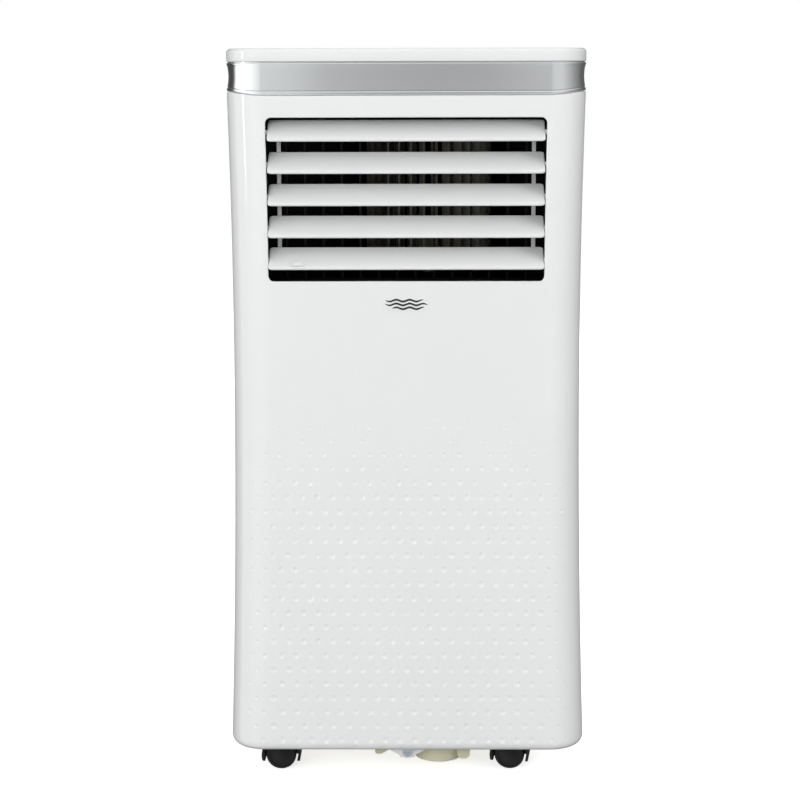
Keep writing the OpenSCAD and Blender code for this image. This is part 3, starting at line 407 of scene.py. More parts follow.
def makeObject(name, part, finish, body, crease=35, merge=False):
    # the part in metres with its faces turned outwards, smooth but for edges sharper than the
    # crease in degrees, in its finish and riding its body; merge joins the points that meet
    verts, faces = part
    mesh = bpy.data.meshes.new(name)
    loops = np.concatenate([f.ravel() for f in faces]).astype(np.int32)
    sizes = np.concatenate([np.full(len(f), f.shape[1]) for f in faces])
    starts = np.concatenate([[0], np.cumsum(sizes)[:-1]]).astype(np.int32)
    mesh.vertices.add(len(verts))
    mesh.vertices.foreach_set("co", (np.asarray(verts) * mm).astype(np.float32).ravel())
    mesh.loops.add(len(loops))
    mesh.loops.foreach_set("vertex_index", loops)
    mesh.polygons.add(len(sizes))
    mesh.polygons.foreach_set("loop_start", starts)
    mesh.update(calc_edges=True)
    mesh.validate()
    made = bpy.data.objects.new(name, mesh)
    bpy.context.scene.collection.objects.link(made)
    build = bmesh.new()
    build.from_mesh(mesh)
    if merge:
        bmesh.ops.remove_doubles(build, verts=build.verts, dist=0.01 * mm)
    bmesh.ops.recalc_face_normals(build, faces=build.faces)
    build.to_mesh(mesh)
    build.free()
    mesh.shade_smooth()
    mesh.set_sharp_from_angle(angle=math.radians(crease))
    dress(made, finish)
    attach(made, body)
    return made


def roundLoop(width, height, radius, steps=6):
    # rounded rectangle about 0, anticlockwise: a quarter circle of steps spans on each corner
    radius = max(radius, 0.01)
    a = np.linspace(0, math.pi / 2, steps + 1)
    corner = np.stack([np.cos(a), np.sin(a)], -1) * radius
    turn = np.array([[0, 1], [-1, 0]])
    out = []
    for k, (sx, sy) in enumerate([(1, 1), (-1, 1), (-1, -1), (1, -1)]):
        centre = np.array([sx * (width / 2 - radius), sy * (height / 2 - radius)])
        out.append(centre + corner)
        corner = corner @ turn
    return np.concatenate(out)


def circleLoop(radius, steps=48):
    # radius times (cos a, sin a), anticlockwise
    a = np.linspace(0, 2 * math.pi, steps, endpoint=False)
    return np.stack([np.cos(a), np.sin(a)], -1) * radius


def lift(loop, plane, depth):
    # a flat loop put on a plane: "xz" stands it upright at y = depth, "xy" lays it at z = depth,
    # "yz" stands it sideways at x = depth
    deep = np.full(len(loop), float(depth))
    order = {"xz": (loop[:, 0], deep, loop[:, 1]), "xy": (loop[:, 0], loop[:, 1], deep),
             "yz": (deep, loop[:, 0], loop[:, 1])}[plane]
    return np.stack(order, -1)


def slab(plane, centre, size, radius, levels, steps=6, hollow=False):
    # rounded rectangle carried through levels of (inset, depth); hollow joins the last level to
    # the first, so that the levels are the section of a frame
    rings = []
    for inset, depth in levels:
        loop = roundLoop(size[0] - 2 * inset, size[1] - 2 * inset, radius - inset, steps)
        rings.append(lift(loop + np.array(centre), plane, depth))
    return weave(rings, closed=hollow)


def lathe(axis, centre, profile, steps=48, closed=False):
    # profile of (radius, distance along the axis) turned about the axis through centre
    rings = []
    for radius, along in profile:
        loop = circleLoop(max(radius, 0.02), steps)
        rings.append(lift(loop, {"y": "xz", "z": "xy"}[axis], along) + np.array(centre, float))
    return weave(rings, closed=closed)


def upright(centre, half, section, bevel):
    # standing bar of a rounded rectangular section with bevelled ends
    mid = centre[2]
    levels = [(bevel, mid - half), (0, mid - half + bevel), (0, mid + half - bevel),
              (bevel, mid + half)]
    return slab("xy", centre[:2], section, min(section) * 0.3, levels, 2)


def spun(part, angle):
    # turned about the upright axis: x cos - y sin, x sin + y cos
    verts, faces = part
    c, s = math.cos(angle), math.sin(angle)
    return verts @ np.array([[c, s, 0], [-s, c, 0], [0, 0, 1]]), faces


def corners(node):
    # low and high corner of the node's box
    low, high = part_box(node)
    return np.array(low) / mm, np.array(high) / mm


# casing: front panel and rear casing as one wall each, with every hole cut through
casing = {
    "footHalf": 151.0,      # half widths at the foot, waist and shoulder
    "waistHalf": 144.0,
    "shoulderHalf": 146.5,
    "waistZ": 390.0,
    "cornerR": 30.0,        # upright corners
    "footR": 8.0,           # bend under the casing
    "flange": 8.0,          # flat part of the flange that turns in under the casing
    "wall": 2.6,
    "seamGap": 0.3,         # between the two halves
    "edgeR": 0.9,           # rounding where the two halves meet
    "bandRise": 3.0,        # how far the band's lower edge climbs round the corners
    "bandLead": 4.0,        # the climb starts this far before the corner
    "bandShare": 0.9,       # and takes this share of the corner's length
    "topGap": 0.15,         # between the rear casing and the cap
}
# how far apart the skins' points are
lattice = {
    "up": 8.0,
    "firstUp": 46.0,        # height of the lowest level row
    "across": 8.0,
    "side": 12.0,
    "shoulder": 6.0,        # rows of the rear casing beside the band
    "bend": 8,              # rows round the foot's bend
    "corner": 13,           # columns round an upright corner
    "hole": 4.0,            # along a hole's outline
    "edges": (0, 0.25, 0.6, 1.1),           # rows in from a rounded edge
    "lips": (0.25, 0.6, 1.0, 1.6),          # rings round a hole, in radii of its lip
}
panelLow, panelHigh = corners("front_panel")
rearLow, rearHigh = corners("rear_casing")
capLow, capHigh = corners("top_cap")
frontY = panelLow[1]
rearY = capHigh[1]
seamY = panelHigh[1]
bandZ = panelHigh[2]
capZ = rearHigh[2]
topZ = capHigh[2]
groundZ = rearLow[2]
flatKept = 108.0            # across this half width a distance on the skin is a true width
flatRef = 116.0
arcLength = casing["cornerR"] * math.pi / 2


def halfWidth(z):
    # waist: width grows with the square of the height's distance from the waist
    c = casing
    below = (c["footHalf"] - c["waistHalf"]) * ((c["waistZ"] - z) / (c["waistZ"] - groundZ)) ** 2
    above = (c["shoulderHalf"] - c["waistHalf"]) * ((z - c["waistZ"]) / (bandZ - c["waistZ"])) ** 2
    return c["waistHalf"] + np.where(z < c["waistZ"], below, above)


def footProfile(v):
    # v is the height above the foot's rounding, then the arc length round it and along the flange;
    # gives height and inset: z = r - r sin(a), inset = r - r cos(a) with a = arc / r
    r = casing["footR"]
    bend = groundZ + r
    arc = np.clip(bend - v, 0, r * math.pi / 2)
    flat = np.maximum(bend - v - r * math.pi / 2, 0)
    z = np.where(v > bend, v, bend - r * np.sin(arc / r))
    return z, r - r * np.cos(arc / r) + flat


def casingPoint(s, v, sink, face):
    # s runs round the half from its middle: flat face, quarter circle, straight side
    z, inset = footProfile(v)
    d = inset + sink
    r = casing["cornerR"]
    w = halfWidth(np.minimum(z, bandZ))
    a0 = w - r
    u = np.abs(s)
    flat = np.where(u < flatKept, u, flatKept + (u - flatKept) * (a0 - flatKept) / (flatRef - flatKept))
    angle = np.clip((u - flatRef) / r, 0, math.pi / 2)
    side = np.maximum(u - flatRef - arcLength, 0)
    x = np.where(u < flatRef, flat, a0 + (r - d) * np.sin(angle))
    y = np.where(u < flatRef, d, r - (r - d) * np.cos(angle) + side)
    inward = 1 if face < seamY else -1
    return np.stack([np.sign(s) * x, face + inward * y, z], -1)


def sideS(y, face):
    # distance round the skin of a point on the straight side
    return flatRef + arcLength + abs(y - face) - casing["cornerR"]


def roll(distance, radius):
    # quarter circle at an edge: r - sqrt(r^2 - (r - distance)^2)
    near = np.clip(radius - distance, 0, radius)
    return radius - np.sqrt(np.maximum(radius ** 2 - near ** 2, 0))


def boxDistance(p, centre, size, radius):
    # signed distance to a rounded rectangle, positive outside
    q = np.abs(p - np.array(centre)) - np.array(size) / 2 + radius
    return np.hypot(*np.maximum(q, 0).T) + np.minimum(q.max(1), 0) - radius


def smoothStep(x):
    t = np.clip(x, 0, 1)
    return t * t * (3 - 2 * t)


def triangulate(loops, inner):
    # constrained Delaunay triangles between the first loop and the holes that the others cut
    flat = np.concatenate(loops + [inner])
    edges = []
    base = 0
    for loop in loops:
        n = len(loop)
        edges += [(base + k, base + (k + 1) % n) for k in range(n)]
        base += n
    coords = [Vector(p) for p in flat.tolist()]
    verts, _, faces, *_ = delaunay_2d_cdt(coords, edges, [], 2, 1e-4, False)
    return np.array([tuple(v) for v in verts]), np.array(faces)


def insideLoop(points, loop):
    # even-odd rule, one loop edge at a time over all the points
    inside = np.zeros(len(points), bool)
    x, y = points.T
    for (ax, ay), (bx, by) in zip(loop, np.roll(loop, -1, 0)):
        if ay != by:
            cross = ((ay > y) != (by > y)) & (x < (bx - ax) * (y - ay) / (by - ay) + ax)
            inside ^= cross
    return inside


def spread(loop, gap):
    # extra points along every edge longer than the gap, evenly spaced
    step = np.roll(loop, -1, 0) - loop
    count = np.maximum(np.ceil(np.hypot(*step.T) / gap).astype(int), 1)
    at = np.repeat(np.arange(len(loop)), count)
    part = (np.arange(len(at)) - np.repeat(np.cumsum(count) - count, count)) / count[at]
    return loop[at] + step[at] * part[:, None]


def skin(name, face, top, reach, holes, dots, sink, finish):
    # points on a plain lattice and round the holes and dots, triangulated flat in (s, v), then
    # carried to the casing with a depth that adds the sink, the edges' and the lips' rounding;
    # holes: (centre, size, radius, lip) in skin coordinates; a round one has size = 2 radius
    bottom = groundZ + casing["footR"] * (1 - math.pi / 2) - casing["flange"]
    bend = np.linspace(bottom + casing["flange"], groundZ + casing["footR"], lattice["bend"])
    level = np.arange(lattice["firstUp"], bandZ - 6, lattice["up"])
    rows = np.concatenate([[bottom, bottom + 4], bend, level, [bandZ - 2.4]])
    flats = np.arange(-flatRef + 4, flatRef - 3, lattice["across"])
    arcs = flatRef + np.linspace(0, arcLength, lattice["corner"])
    sides = np.arange(arcs[-1] + 10, reach - 3, lattice["side"])
    right = np.concatenate([arcs, sides])
    columns = np.concatenate([-right[::-1], flats, right])
    edgeSteps = lattice["edges"]
    across = np.concatenate([[-reach], [-reach + e for e in edgeSteps[1:]], columns,
                             [reach - e for e in edgeSteps[:0:-1]], [reach]])
    topLine = np.stack([across, top(across)], -1)
    bottomLine = np.stack([across, np.full(len(across), bottom)], -1)
    leftLine = np.stack([np.full(len(rows) - 1, -reach), rows[1:]], -1)
    rightLine = leftLine * np.array([-1, 1])
    outline = np.concatenate([bottomLine, rightLine, topLine[::-1], leftLine[::-1]])
    gridS, gridV = np.meshgrid(columns, rows[1:])
    points = [np.stack([gridS.ravel(), gridV.ravel()], -1)]
    if top(np.zeros(1))[0] > bandZ + 5:
        above = np.arange(bandZ + 4, top(np.zeros(1))[0] - 3, lattice["shoulder"])
        gridS, gridV = np.meshgrid(columns, above)
        points.append(np.stack([gridS.ravel(), gridV.ravel()], -1))
    for e in edgeSteps[1:]:
        points.append(np.stack([np.full(len(rows) - 1, reach - e), rows[1:]], -1))
        points.append(np.stack([np.full(len(rows) - 1, e - reach), rows[1:]], -1))
        points.append(np.stack([across[4:-4], top(across[4:-4]) - e], -1))
    grid = np.concatenate(points)
    loops = [outline]
    rings = []
    keep = np.ones(len(grid), bool)
    for centre, size, radius, lip in holes:
        steps = 10 if radius * 2 < min(size) - 0.01 else 16
        loops.append(spread(roundLoop(size[0], size[1], radius, steps) + centre, lattice["hole"]))
        for share in lattice["lips"]:
            e = share * lip
            loop = roundLoop(size[0] + 2 * e, size[1] + 2 * e, radius + e, steps)
            rings.append(spread(loop + centre, lattice["hole"]))
        keep &= boxDistance(grid, centre, size, radius) > 2.2 * lip + 0.5
    if len(dots):
        # keep the plain grid clear of the dimples, which bring their own points
        spots = grid[keep]
        near = np.zeros(len(spots), bool)
        for start in range(0, len(spots), batch):
            part = spots[start:start + batch]
            gap = np.hypot(part[:, None, 0] - dots[None, :, 0], part[:, None, 1] - dots[None, :, 1])
            near[start:start + batch] = gap.min(1) < dimples["radius"] * dimples["clear"]
        kept = spots[~near]
        for share, n in dimples["rings"]:
            ring = circleLoop(dimples["radius"] * share, n)
            rings.append((dots[:, None, :] + ring[None] * dotSize[:, None, None]).reshape(-1, 2))
        rings.append(dots)
    else:
        kept = grid[keep]
    flat, faces = triangulate(loops, np.concatenate([kept] + rings))
    middle = flat[faces].mean(1)
    inHole = np.zeros(len(faces), bool)
    for loop in loops[1:]:
        inHole |= insideLoop(middle, loop)
    faces = faces[~inHole]
    depth = sink(flat[:, 0], flat[:, 1])
    depth = depth + roll(reach - np.abs(flat[:, 0]), casing["edgeR"])
    depth = depth + roll(top(flat[:, 0]) - flat[:, 1], casing["edgeR"])
    for centre, size, radius, lip in holes:
        depth = depth + roll(np.maximum(boxDistance(flat, centre, size, radius), 0), lip)
    points = casingPoint(flat[:, 0], flat[:, 1], depth, face)
    # triangles run anticlockwise in (s, v), which faces outwards on the front half
    order = faces if face < seamY else faces[:, ::-1]
    made = makeObject(name, (points, [order]), finish, "casing", 40)
    wall = made.modifiers.new("wall", "SOLIDIFY")
    wall.thickness = casing["wall"] * mm
    wall.offset = -1
    wall.use_even_offset = False
    return made


dimples = {
    "radius": 2.9,
    "depth": 0.55,
    "wall": 0.6,            # share of the radius over which the side falls
    "pitchX": 12.4,
    "pitchZ": 12.38,
    "firstZ": 249.0,        # highest full row
    "lastRow": 18,
    "sparseZ": (261.3, 273.5, 285.1, 296.5, 308.1, 315.9, 323.9),
    "half": 10.5,           # pitches from the middle to the last column
    "clear": 1.5,           # radii within which the plain points are left out
    "rings": ((0.4, 10), (0.6, 14), (0.8, 14), (1.0, 14), (1.25, 14)),      # radii, points
    "shrinkUp": (3.0, 72.0, 0.66),          # from this far above firstZ, over, by this share
    "shrinkSide": (8.6, 2.0, 0.4),          # from this many pitches out, over, by this share
}
batch = 4000                # points taken at once against all the dimples
# columns left in each sparse row above, in pitches from the middle, thinning out upwards
sparseColumns = (
    (0.5, 1.5, 2.5, 3.5, 4.5, 6.5, 7.5, 8.5, 9.5, 10.5),
    (0, 2, 3, 4, 5, 6, 7, 8, 10),
    (0.5, 1.5, 2.5, 3.5, 5.5, 6.5, 8.5, 9.5),
    (0, 3, 5, 7, 8, 10),
    (1.5, 2.5, 3.5, 5.5, 6.5, 8.5),
    (0, 2, 4, 7, 10),
    (2, 7),
)


def dimpleDots():
    # rows of dimples, every other one shifted by half a pitch, mirrored about the middle
    d = dimples
    out = []
    for row in range(d["lastRow"]):
        first = 0 if row % 2 == 0 else 0.5
        steps = np.arange(first, d["half"] + 0.1, 1.0)
        xs = np.unique(np.concatenate([-steps, steps])) * d["pitchX"]
        out.append(np.stack([xs, np.full(len(xs), d["firstZ"] - row * d["pitchZ"])], -1))
    for z, places in zip(d["sparseZ"], sparseColumns):
        xs = np.unique([s * p for p in places for s in (-1, 1)]) * d["pitchX"]
        out.append(np.stack([xs, np.full(len(xs), z)], -1))
    dots = np.concatenate(out)
    return dots[np.lexsort((dots[:, 0], dots[:, 1]))]


def dimpleSizes(at):
    # share of the full radius: 1 in the full rows, falling up the sparse rows and at the sides
    d = dimples
    upFrom, upOver, upBy = d["shrinkUp"]
    sideFrom, sideOver, sideBy = d["shrinkSide"]
    up = np.clip((at[:, 1] - d["firstZ"] - upFrom) / upOver, 0, 1)
    side = smoothStep((np.abs(at[:, 0]) / d["pitchX"] - sideFrom) / sideOver)
    return (1 - upBy * up) * (1 - sideBy * side)


dots = dimpleDots()
dotSize = dimpleSizes(dots)


def dimpleSink(s, v):
    # flat-bottomed dish: depth times a smooth step of (1 - rho / r) / wall, shallower where smaller
    out = np.zeros(len(s))
    for start in range(0, len(s), batch):
        part = slice(start, start + batch)
        gap = np.hypot(s[part, None] - dots[None, :, 0], v[part, None] - dots[None, :, 1])
        nearest = gap.argmin(1)
        rho = gap[np.arange(len(nearest)), nearest] / (dimples["radius"] * dotSize[nearest])
        out[part] = dimples["depth"] * dotSize[nearest] * smoothStep((1 - rho) / dimples["wall"])
    return out


def bandFoot(s):
    # lower edge of the trim band: level across the face, climbing round the corners
    climb = smoothStep((np.abs(s) - flatRef + casing["bandLead"]) / (arcLength * casing["bandShare"]))
    return bandZ + casing["bandRise"] * climb


# the louvre opening hangs by its drop below the band
opening = {"width": 227.0, "height": 132.0, "drop": 17.5, "radius": 4.8, "lip": 1.0}
openingMid = bandZ - opening["drop"] - opening["height"] / 2
frontReach = sideS(seamY, frontY) - casing["seamGap"] / 2
frontHoles = [((0.0, openingMid), (opening["width"], opening["height"]), opening["radius"],
               opening["lip"])]
frontSkin = skin("frontPanelSkin", frontY, bandFoot, frontReach, frontHoles, dots, dimpleSink,
                 "whiteAbs")
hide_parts("front_panel")
print("front panel", len(frontSkin.data.polygons))

# rear: grilles, collar, gland, spout, screws and the two grips
upLow, upHigh = corners("upper_inlet_grille")
downLow, downHigh = corners("lower_inlet_grille")
glandLow, glandHigh = corners("cord_gland")
spoutLow, spoutHigh = corners("drain_spout")
gripLow, gripHigh = corners("grip_right")
screwLow, screwHigh = corners("casing_screws")
collar = {"z": 283.0, "bore": 72.5, "wall": 3.0, "gap": 0.05}
rear = {
    "grilleGap": 0.5,       # round each grille
    "grilleR": 6.0,
    "lip": 0.8,             # rounding of the grilles' and the collar's holes
    "fittingR": 7.1,        # holes for the gland and the spout
    "screwIn": 3.8,         # a screw's middle inside the screws' box
    "screwR": 2.1,
    "smallLip": 0.3,
    "gripGap": 0.3,
    "gripR": 7.0,
    "gripLip": 0.9,
}


def roundHole(x, z, radius, lip):
    # a hole whose size is twice its radius both ways
    return ((x, z), (2 * radius, 2 * radius), radius, lip)


rearHoles = []
for low, high in ((upLow, upHigh), (downLow, downHigh)):
    middle = (low + high) / 2
    size = high - low + 2 * rear["grilleGap"]
    rearHoles.append(((0.0, middle[2]), (size[0], size[2]), rear["grilleR"], rear["lip"]))
rearHoles.append(roundHole(0.0, collar["z"], collar["bore"] + collar["wall"] + collar["gap"], rear["lip"]))
for low, high in ((glandLow, glandHigh), (spoutLow, spoutHigh)):
    middle = (low + high) / 2
    rearHoles.append(roundHole(middle[0], middle[2], rear["fittingR"], rear["smallLip"]))
for sx in (-1, 1):
    for z in (screwLow[2] + rear["screwIn"], screwHigh[2] - rear["screwIn"]):
        spot = sx * (screwHigh[0] - rear["screwIn"])
        rearHoles.append(roundHole(spot, z, rear["screwR"], rear["smallLip"]))
gripMid = (gripLow + gripHigh) / 2
gripSize = gripHigh - gripLow
for sx in (-1, 1):
    size = gripSize + 2 * rear["gripGap"]
    rearHoles.append(((sx * sideS(gripMid[1], rearY), gripMid[2]), (size[1], size[2]), rear["gripR"],
                      rear["gripLip"]))
rearReach = sideS(seamY, rearY) - casing["seamGap"] / 2
rearSkin = skin("rearCasingSkin", rearY, lambda s: np.full(np.shape(s), capZ - casing["topGap"]),
                rearReach, rearHoles, np.zeros((0, 2)), lambda s, v: np.zeros(len(s)), "whiteAbs")
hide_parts("rear_casing")
print("rear casing", len(rearSkin.data.polygons))


# trim band: a closed section carried round the front half
band = {
    "corner": 17,           # columns round each corner
    "face": 60.0,           # columns across the face, left and right of the middle
    "end": 20.0,            # last column but one from the seam
    # section as (inset, height above the band's foot), outer side from the top down
    "section": ((4.0, 26.9), (1.4, 26.9), (1.1, 26.7), (1.1, 26.2), (0.4, 25.9), (0.05, 25.4),
                (0.0, 24.7), (0.25, 24.1), (0.7, 22.8), (1.1, 20.4), (1.4, 17.2), (1.5, 14.0),
                (1.4, 10.8), (1.1, 7.6), (0.75, 5.2), (0.6, 4.2), (1.1, 3.95), (1.15, 3.6),
                (0.5, 3.3), (0.1, 2.9), (0.0, 2.2), (0.1, 1.3), (0.6, 0.6), (1.6, 0.3), (4.0, 0.3)),
}


def sweepHalf(section, face, reach, foot, top):
    # section of (inset, height) points carried round the half outline, with its ends covered;
    # heights are squeezed between foot(s) and top where the foot climbs
    arcs = flatRef + np.linspace(0, arcLength, band["corner"])
    right = np.concatenate([arcs, [reach - band["end"], reach]])
    s = np.concatenate([-right[::-1], [-band["face"], 0, band["face"]], right])
    section = np.array(section)
    rise = section[:, 1] / section[:, 1].max()
    rings = []
    for here in s:
        n = len(section)
        at = np.full(n, here)
        points = casingPoint(at, np.full(n, bandZ), section[:, 0], face)
        low = foot(np.array([here]))[0]
        points[:, 2] = low + rise * (top - low)
        rings.append(points)
    return weave(rings)


bandPiece = makeObject("trimBandSkin", sweepHalf(band["section"], frontY, frontReach, bandFoot, capZ),
                       "silverPaint", "casing", 50)
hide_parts("trim_band")


# top cap: rounded rim, flat top with a pocket for the controls
inlayLow, inlayHigh = corners("control_panel")
buttonNodes = ["power_button", "mode_button", "fan_button", "timer_button", "cooler_button",
               "warmer_button"]
buttonSpots = [(corners(row)[0] + corners(row)[1]) / 2 for row in buttonNodes]
buttonR = (corners("power_button")[1][0] - corners("power_button")[0][0]) / 2
cap = {
    "rimR": 3.2,            # rounding of the upper edge
    "cornerR": 30.0,
    "underInset": 0.35,     # the rim's foot inside its widest line
    "pocketLip": 0.5,
    "pocketGap": 0.3,       # round the controls' inlay
    "pocketR": 8.0,
    "buttonGap": 0.5,
}


def flatPlate(outer, holes, z, up=True):
    # level triangles between the outer loop and the holes, facing up or down
    flat, faces = triangulate([outer] + holes, np.zeros((0, 2)))
    middle = flat[faces].mean(1)
    shut = np.zeros(len(faces), bool)
    for loop in holes:
        shut |= insideLoop(middle, loop)
    faces = faces[~shut]
    return lift(flat, "xy", z), [faces if up else faces[:, ::-1]]


def capLoop(inset, steps=16):
    # the cap's outline, drawn in by the inset
    return roundLoop(2 * (casing["shoulderHalf"] - inset), rearY - frontY - 2 * inset,
                     cap["cornerR"] - inset, steps)


inlayMid = (inlayLow + inlayHigh) / 2
inlaySize = inlayHigh - inlayLow
pocketZ = inlayLow[2]


def pocketLoop(grow):
    # the inlay's outline with its gap, grown by so much
    width, height = inlaySize[:2] + 2 * cap["pocketGap"] + 2 * grow
    return roundLoop(width, height, cap["pocketR"] + grow, 10) + inlayMid[:2]


def buttonLoops():
    # a circle with the gap round every button
    return [circleLoop(buttonR + cap["buttonGap"], 32) + spot[:2] for spot in buttonSpots]


# rim as (inset, height): in under the cap, round its foot, then the quarter circle
rim = [(6.0, capZ + 0.2), (cap["underInset"] + 0.5, capZ + 0.05), (cap["underInset"], capZ + 0.25),
       (0.12, capZ + 0.55), (0.0, capZ + 1.0)]
for a in np.linspace(0, math.pi / 2, 9):
    rim.append((cap["rimR"] * (1 - math.cos(a)), topZ - cap["rimR"] + cap["rimR"] * math.sin(a)))
rimRings = [lift(capLoop(inset), "xy", z) for inset, z in rim]
lipR = cap["pocketLip"]
pocketRings = []
for a in np.linspace(0, math.pi / 2, 5):
    pocketRings.append(lift(pocketLoop(lipR * (1 - math.sin(a))), "xy", topZ - lipR * (1 - math.cos(a))))
pocketRings.append(lift(pocketLoop(0), "xy", pocketZ))
capParts = [
    weave(rimRings, caps=False),
    flatPlate(capLoop(rim[-1][0]), [pocketLoop(lipR)], topZ),
    weave(pocketRings, caps=False),
    flatPlate(pocketLoop(0), buttonLoops(), pocketZ),
    flatPlate(capLoop(rim[0][0]), buttonLoops(), rim[0][1], up=False),
]
for loop in buttonLoops():
    capParts.append(weave([lift(loop, "xy", pocketZ), lift(loop, "xy", rim[0][1])], caps=False))
capPiece = makeObject("topCapSkin", joined(capParts), "whiteAbs", "casing", 40, merge=True)
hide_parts("top_cap")
print("band and cap")


# louvres: a rounded blade with soft ends, its pivots, ears and link pins
blade = {
    "tilt": 55.0,
    "pivotIn": 6.5,         # pivots behind the front face
    "firstDrop": 11.7,      # top pivot below the opening's edge
    "pitch": 25.9,
    "half": 112.2,
    "outer": (9.9, 1.6),    # middle and radius of the two tips, along the blade
    "inner": (-14.3, 1.2),
    "hump": 2.3,            # top of the blade over its pivot
    "belly": 1.9,           # and its underside below it
    "level": 1.5,           # what the straight line between the tips already gives
    "endR": 3.4,            # rounding of the ends, seen from above and from the front
    "endT": 0.9,
    "endShare": 0.75,       # share of endR that is drawn in from both long edges
    "ends": (0, 0.12, 0.35, 0.7, 1.2, 1.9, 2.7, 3.4, 8.0),      # rings in from each end
    "pivotR": 1.88,
    "pivotRoot": 1.5,       # how deep the pivot stands in the blade
    "pivotReach": 116.9,
    "chamfer": 0.3,
}
pivotY = frontY + blade["pivotIn"]
topPivotZ = bandZ - opening["drop"] - blade["firstDrop"]


def bladeSection():
    # two tip arcs joined over the hump and under the belly, in (along, across)
    arc = np.linspace(-math.pi / 2, math.pi / 2, 11)
    ou, orad = blade["outer"]
    iu, irad = blade["inner"]
    outer = np.stack([ou + orad * np.cos(arc), orad * np.sin(arc)], -1)
    inner = np.stack([iu - irad * np.cos(arc), -irad * np.sin(arc)], -1)
    span = np.linspace(0, 1, 9)[1:-1]
    over = np.sin(np.pi * span)
    topU = ou + (iu - ou) * span
    topV = orad + (irad - orad) * span + over * (blade["hump"] - blade["level"])
    lowV = -(irad + (orad - irad) * span) - over * (blade["belly"] - blade["level"])
    over = np.stack([topU, topV], -1)
    under = np.stack([topU[::-1], lowV], -1)
    return np.concatenate([outer, over, inner, under])


def onBlade(points, pivotZ):
    # (x, along, across) to the frame: along runs out and down, across runs up off the blade
    t = math.radians(blade["tilt"])
    along, across = points[:, 1], points[:, 2]
    y = pivotY - math.sin(t) * along - math.cos(t) * across
    z = pivotZ - math.cos(t) * along + math.sin(t) * across
    return np.stack([points[:, 0], y, z], -1)


def bladeBody():
    # the section carried along the blade, drawn in at both ends by a quarter circle's roll
    section = bladeSection()
    middle = (blade["outer"][0] + blade["inner"][0]) / 2
    halfSpan = section[:, 0].max() - middle
    steps = np.array(blade["ends"])
    rings = []
    for sx in (-1, 1):
        for e in (steps if sx < 0 else steps[::-1]):
            drawU = 1 - roll(e, blade["endR"]) / halfSpan * blade["endShare"]
            drawV = 1 - roll(e, blade["endT"]) / blade["hump"]
            u = middle + (section[:, 0] - middle) * drawU
            x = np.full(len(section), sx * (blade["half"] - e))
            rings.append(np.stack([x, u, section[:, 1] * drawV], -1))
    return weave(rings)


def stick(start, end, u, v, radius, steps=20):
    # round pin along the blade's length, with a small chamfer at both ends
    loop = circleLoop(1.0, steps)
    edge = blade["chamfer"]
    rings = []
    for x, r in ((start, radius - edge), (start + edge, radius), (end - edge, radius),
                 (end, radius - edge)):
        rings.append(np.stack([np.full(steps, x), u + loop[:, 0] * r, v + loop[:, 1] * r], -1))
    return weave(rings)


link = {
    "x": 104.3,             # middle of the link bar
    "w": 3.2,
    "gap": 0.5,             # between the bar and the ear
    "earT": 1.6,
    "back": -18.5,          # pin, along and across the blade
    "under": -5.0,
    "pinR": 1.18,
    "pinRoot": 0.6,         # how deep the pin stands in the ear
    "edge": 0.97,           # size of the ear's outline at its two faces
    # outline of the ear, along and across the blade: a tapered hook round the pin
    "hook": ((-6.5, -1.0), (-9.5, -1.3), (-13.0, -2.6), (-16.2, -3.0), (-18.6, -2.6), (-20.4, -3.6),
             (-20.9, -5.2), (-20.2, -6.7), (-18.5, -7.4), (-16.6, -6.7), (-14.0, -4.2), (-11.5, -1.2),
             (-11.5, 0.4), (-6.5, 0.6)),
}


def ear(sx):
    # thin plate from the blade's underside to the link pin: the hook, smaller at both faces
    outline = np.array(link["hook"])
    middle = outline.mean(0)
    outer = link["x"] - link["w"] / 2 - link["gap"]
    inner = outer - link["earT"]
    edge = blade["chamfer"]
    small = link["edge"]
    rings = []
    for x, share in ((inner, small), (inner + edge, 1.0), (outer - edge, 1.0), (outer, small)):
        flat = middle + (outline - middle) * share
        rings.append(np.stack([np.full(len(flat), sx * x), flat[:, 0], flat[:, 1]], -1))
    return weave(rings)


thumb = {
    "x": -88.0,
    "u": 10.68,             # middle of the disc along the blade
    "root": 0.02,           # how far it stands into the blade
    "r": 5.5,
    "top": 3.2,
    "dish": 0.55,
}


def thumbTab():
    # half disc standing on the blade's outer edge, its top dished inside a raised rim
    a = np.linspace(math.pi / 2, 3 * math.pi / 2, 25)
    rings = []
    top = thumb["top"]
    low = top - thumb["dish"]
    levels = ((1.0, 0.0), (1.0, top - 0.5), (0.96, top - 0.12), (0.9, top), (0.8, top - 0.05), (0.74, low),
              (0.5, low))
    for scale, height in levels:
        u = thumb["u"] - thumb["root"] + thumb["r"] * scale * np.cos(a)
        x = thumb["x"] + thumb["r"] * scale * np.sin(a)
        rings.append(np.stack([x, u, np.full(len(a), height)], -1))
    return weave(rings)


for row in range(5):
    pivotZ = topPivotZ - row * blade["pitch"]
    parts = [bladeBody()]
    for sx in (-1, 1):
        ends = sorted((sx * (blade["half"] - blade["pivotRoot"]), sx * blade["pivotReach"]))
        parts.append(stick(ends[0], ends[1], 0, 0, blade["pivotR"]))
        parts.append(ear(sx))
        pins = sorted((sx * (link["x"] - link["w"] / 2 - link["gap"] - link["pinRoot"]),
                       sx * (link["x"] + link["w"] / 2 + link["gap"])))
        parts.append(stick(pins[0], pins[1], link["back"], link["under"], link["pinR"], 14))
    if row == 4:            # the lowest blade
        parts.append(thumbTab())
    points, faces = joined(parts)
    body = "louvre_%d" % (row + 1)
    piece = makeObject("louvreBlade%d" % (row + 1), (onBlade(points, pivotZ), faces), "louvreAbs", body, 40)
    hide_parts(body)
print("louvres")


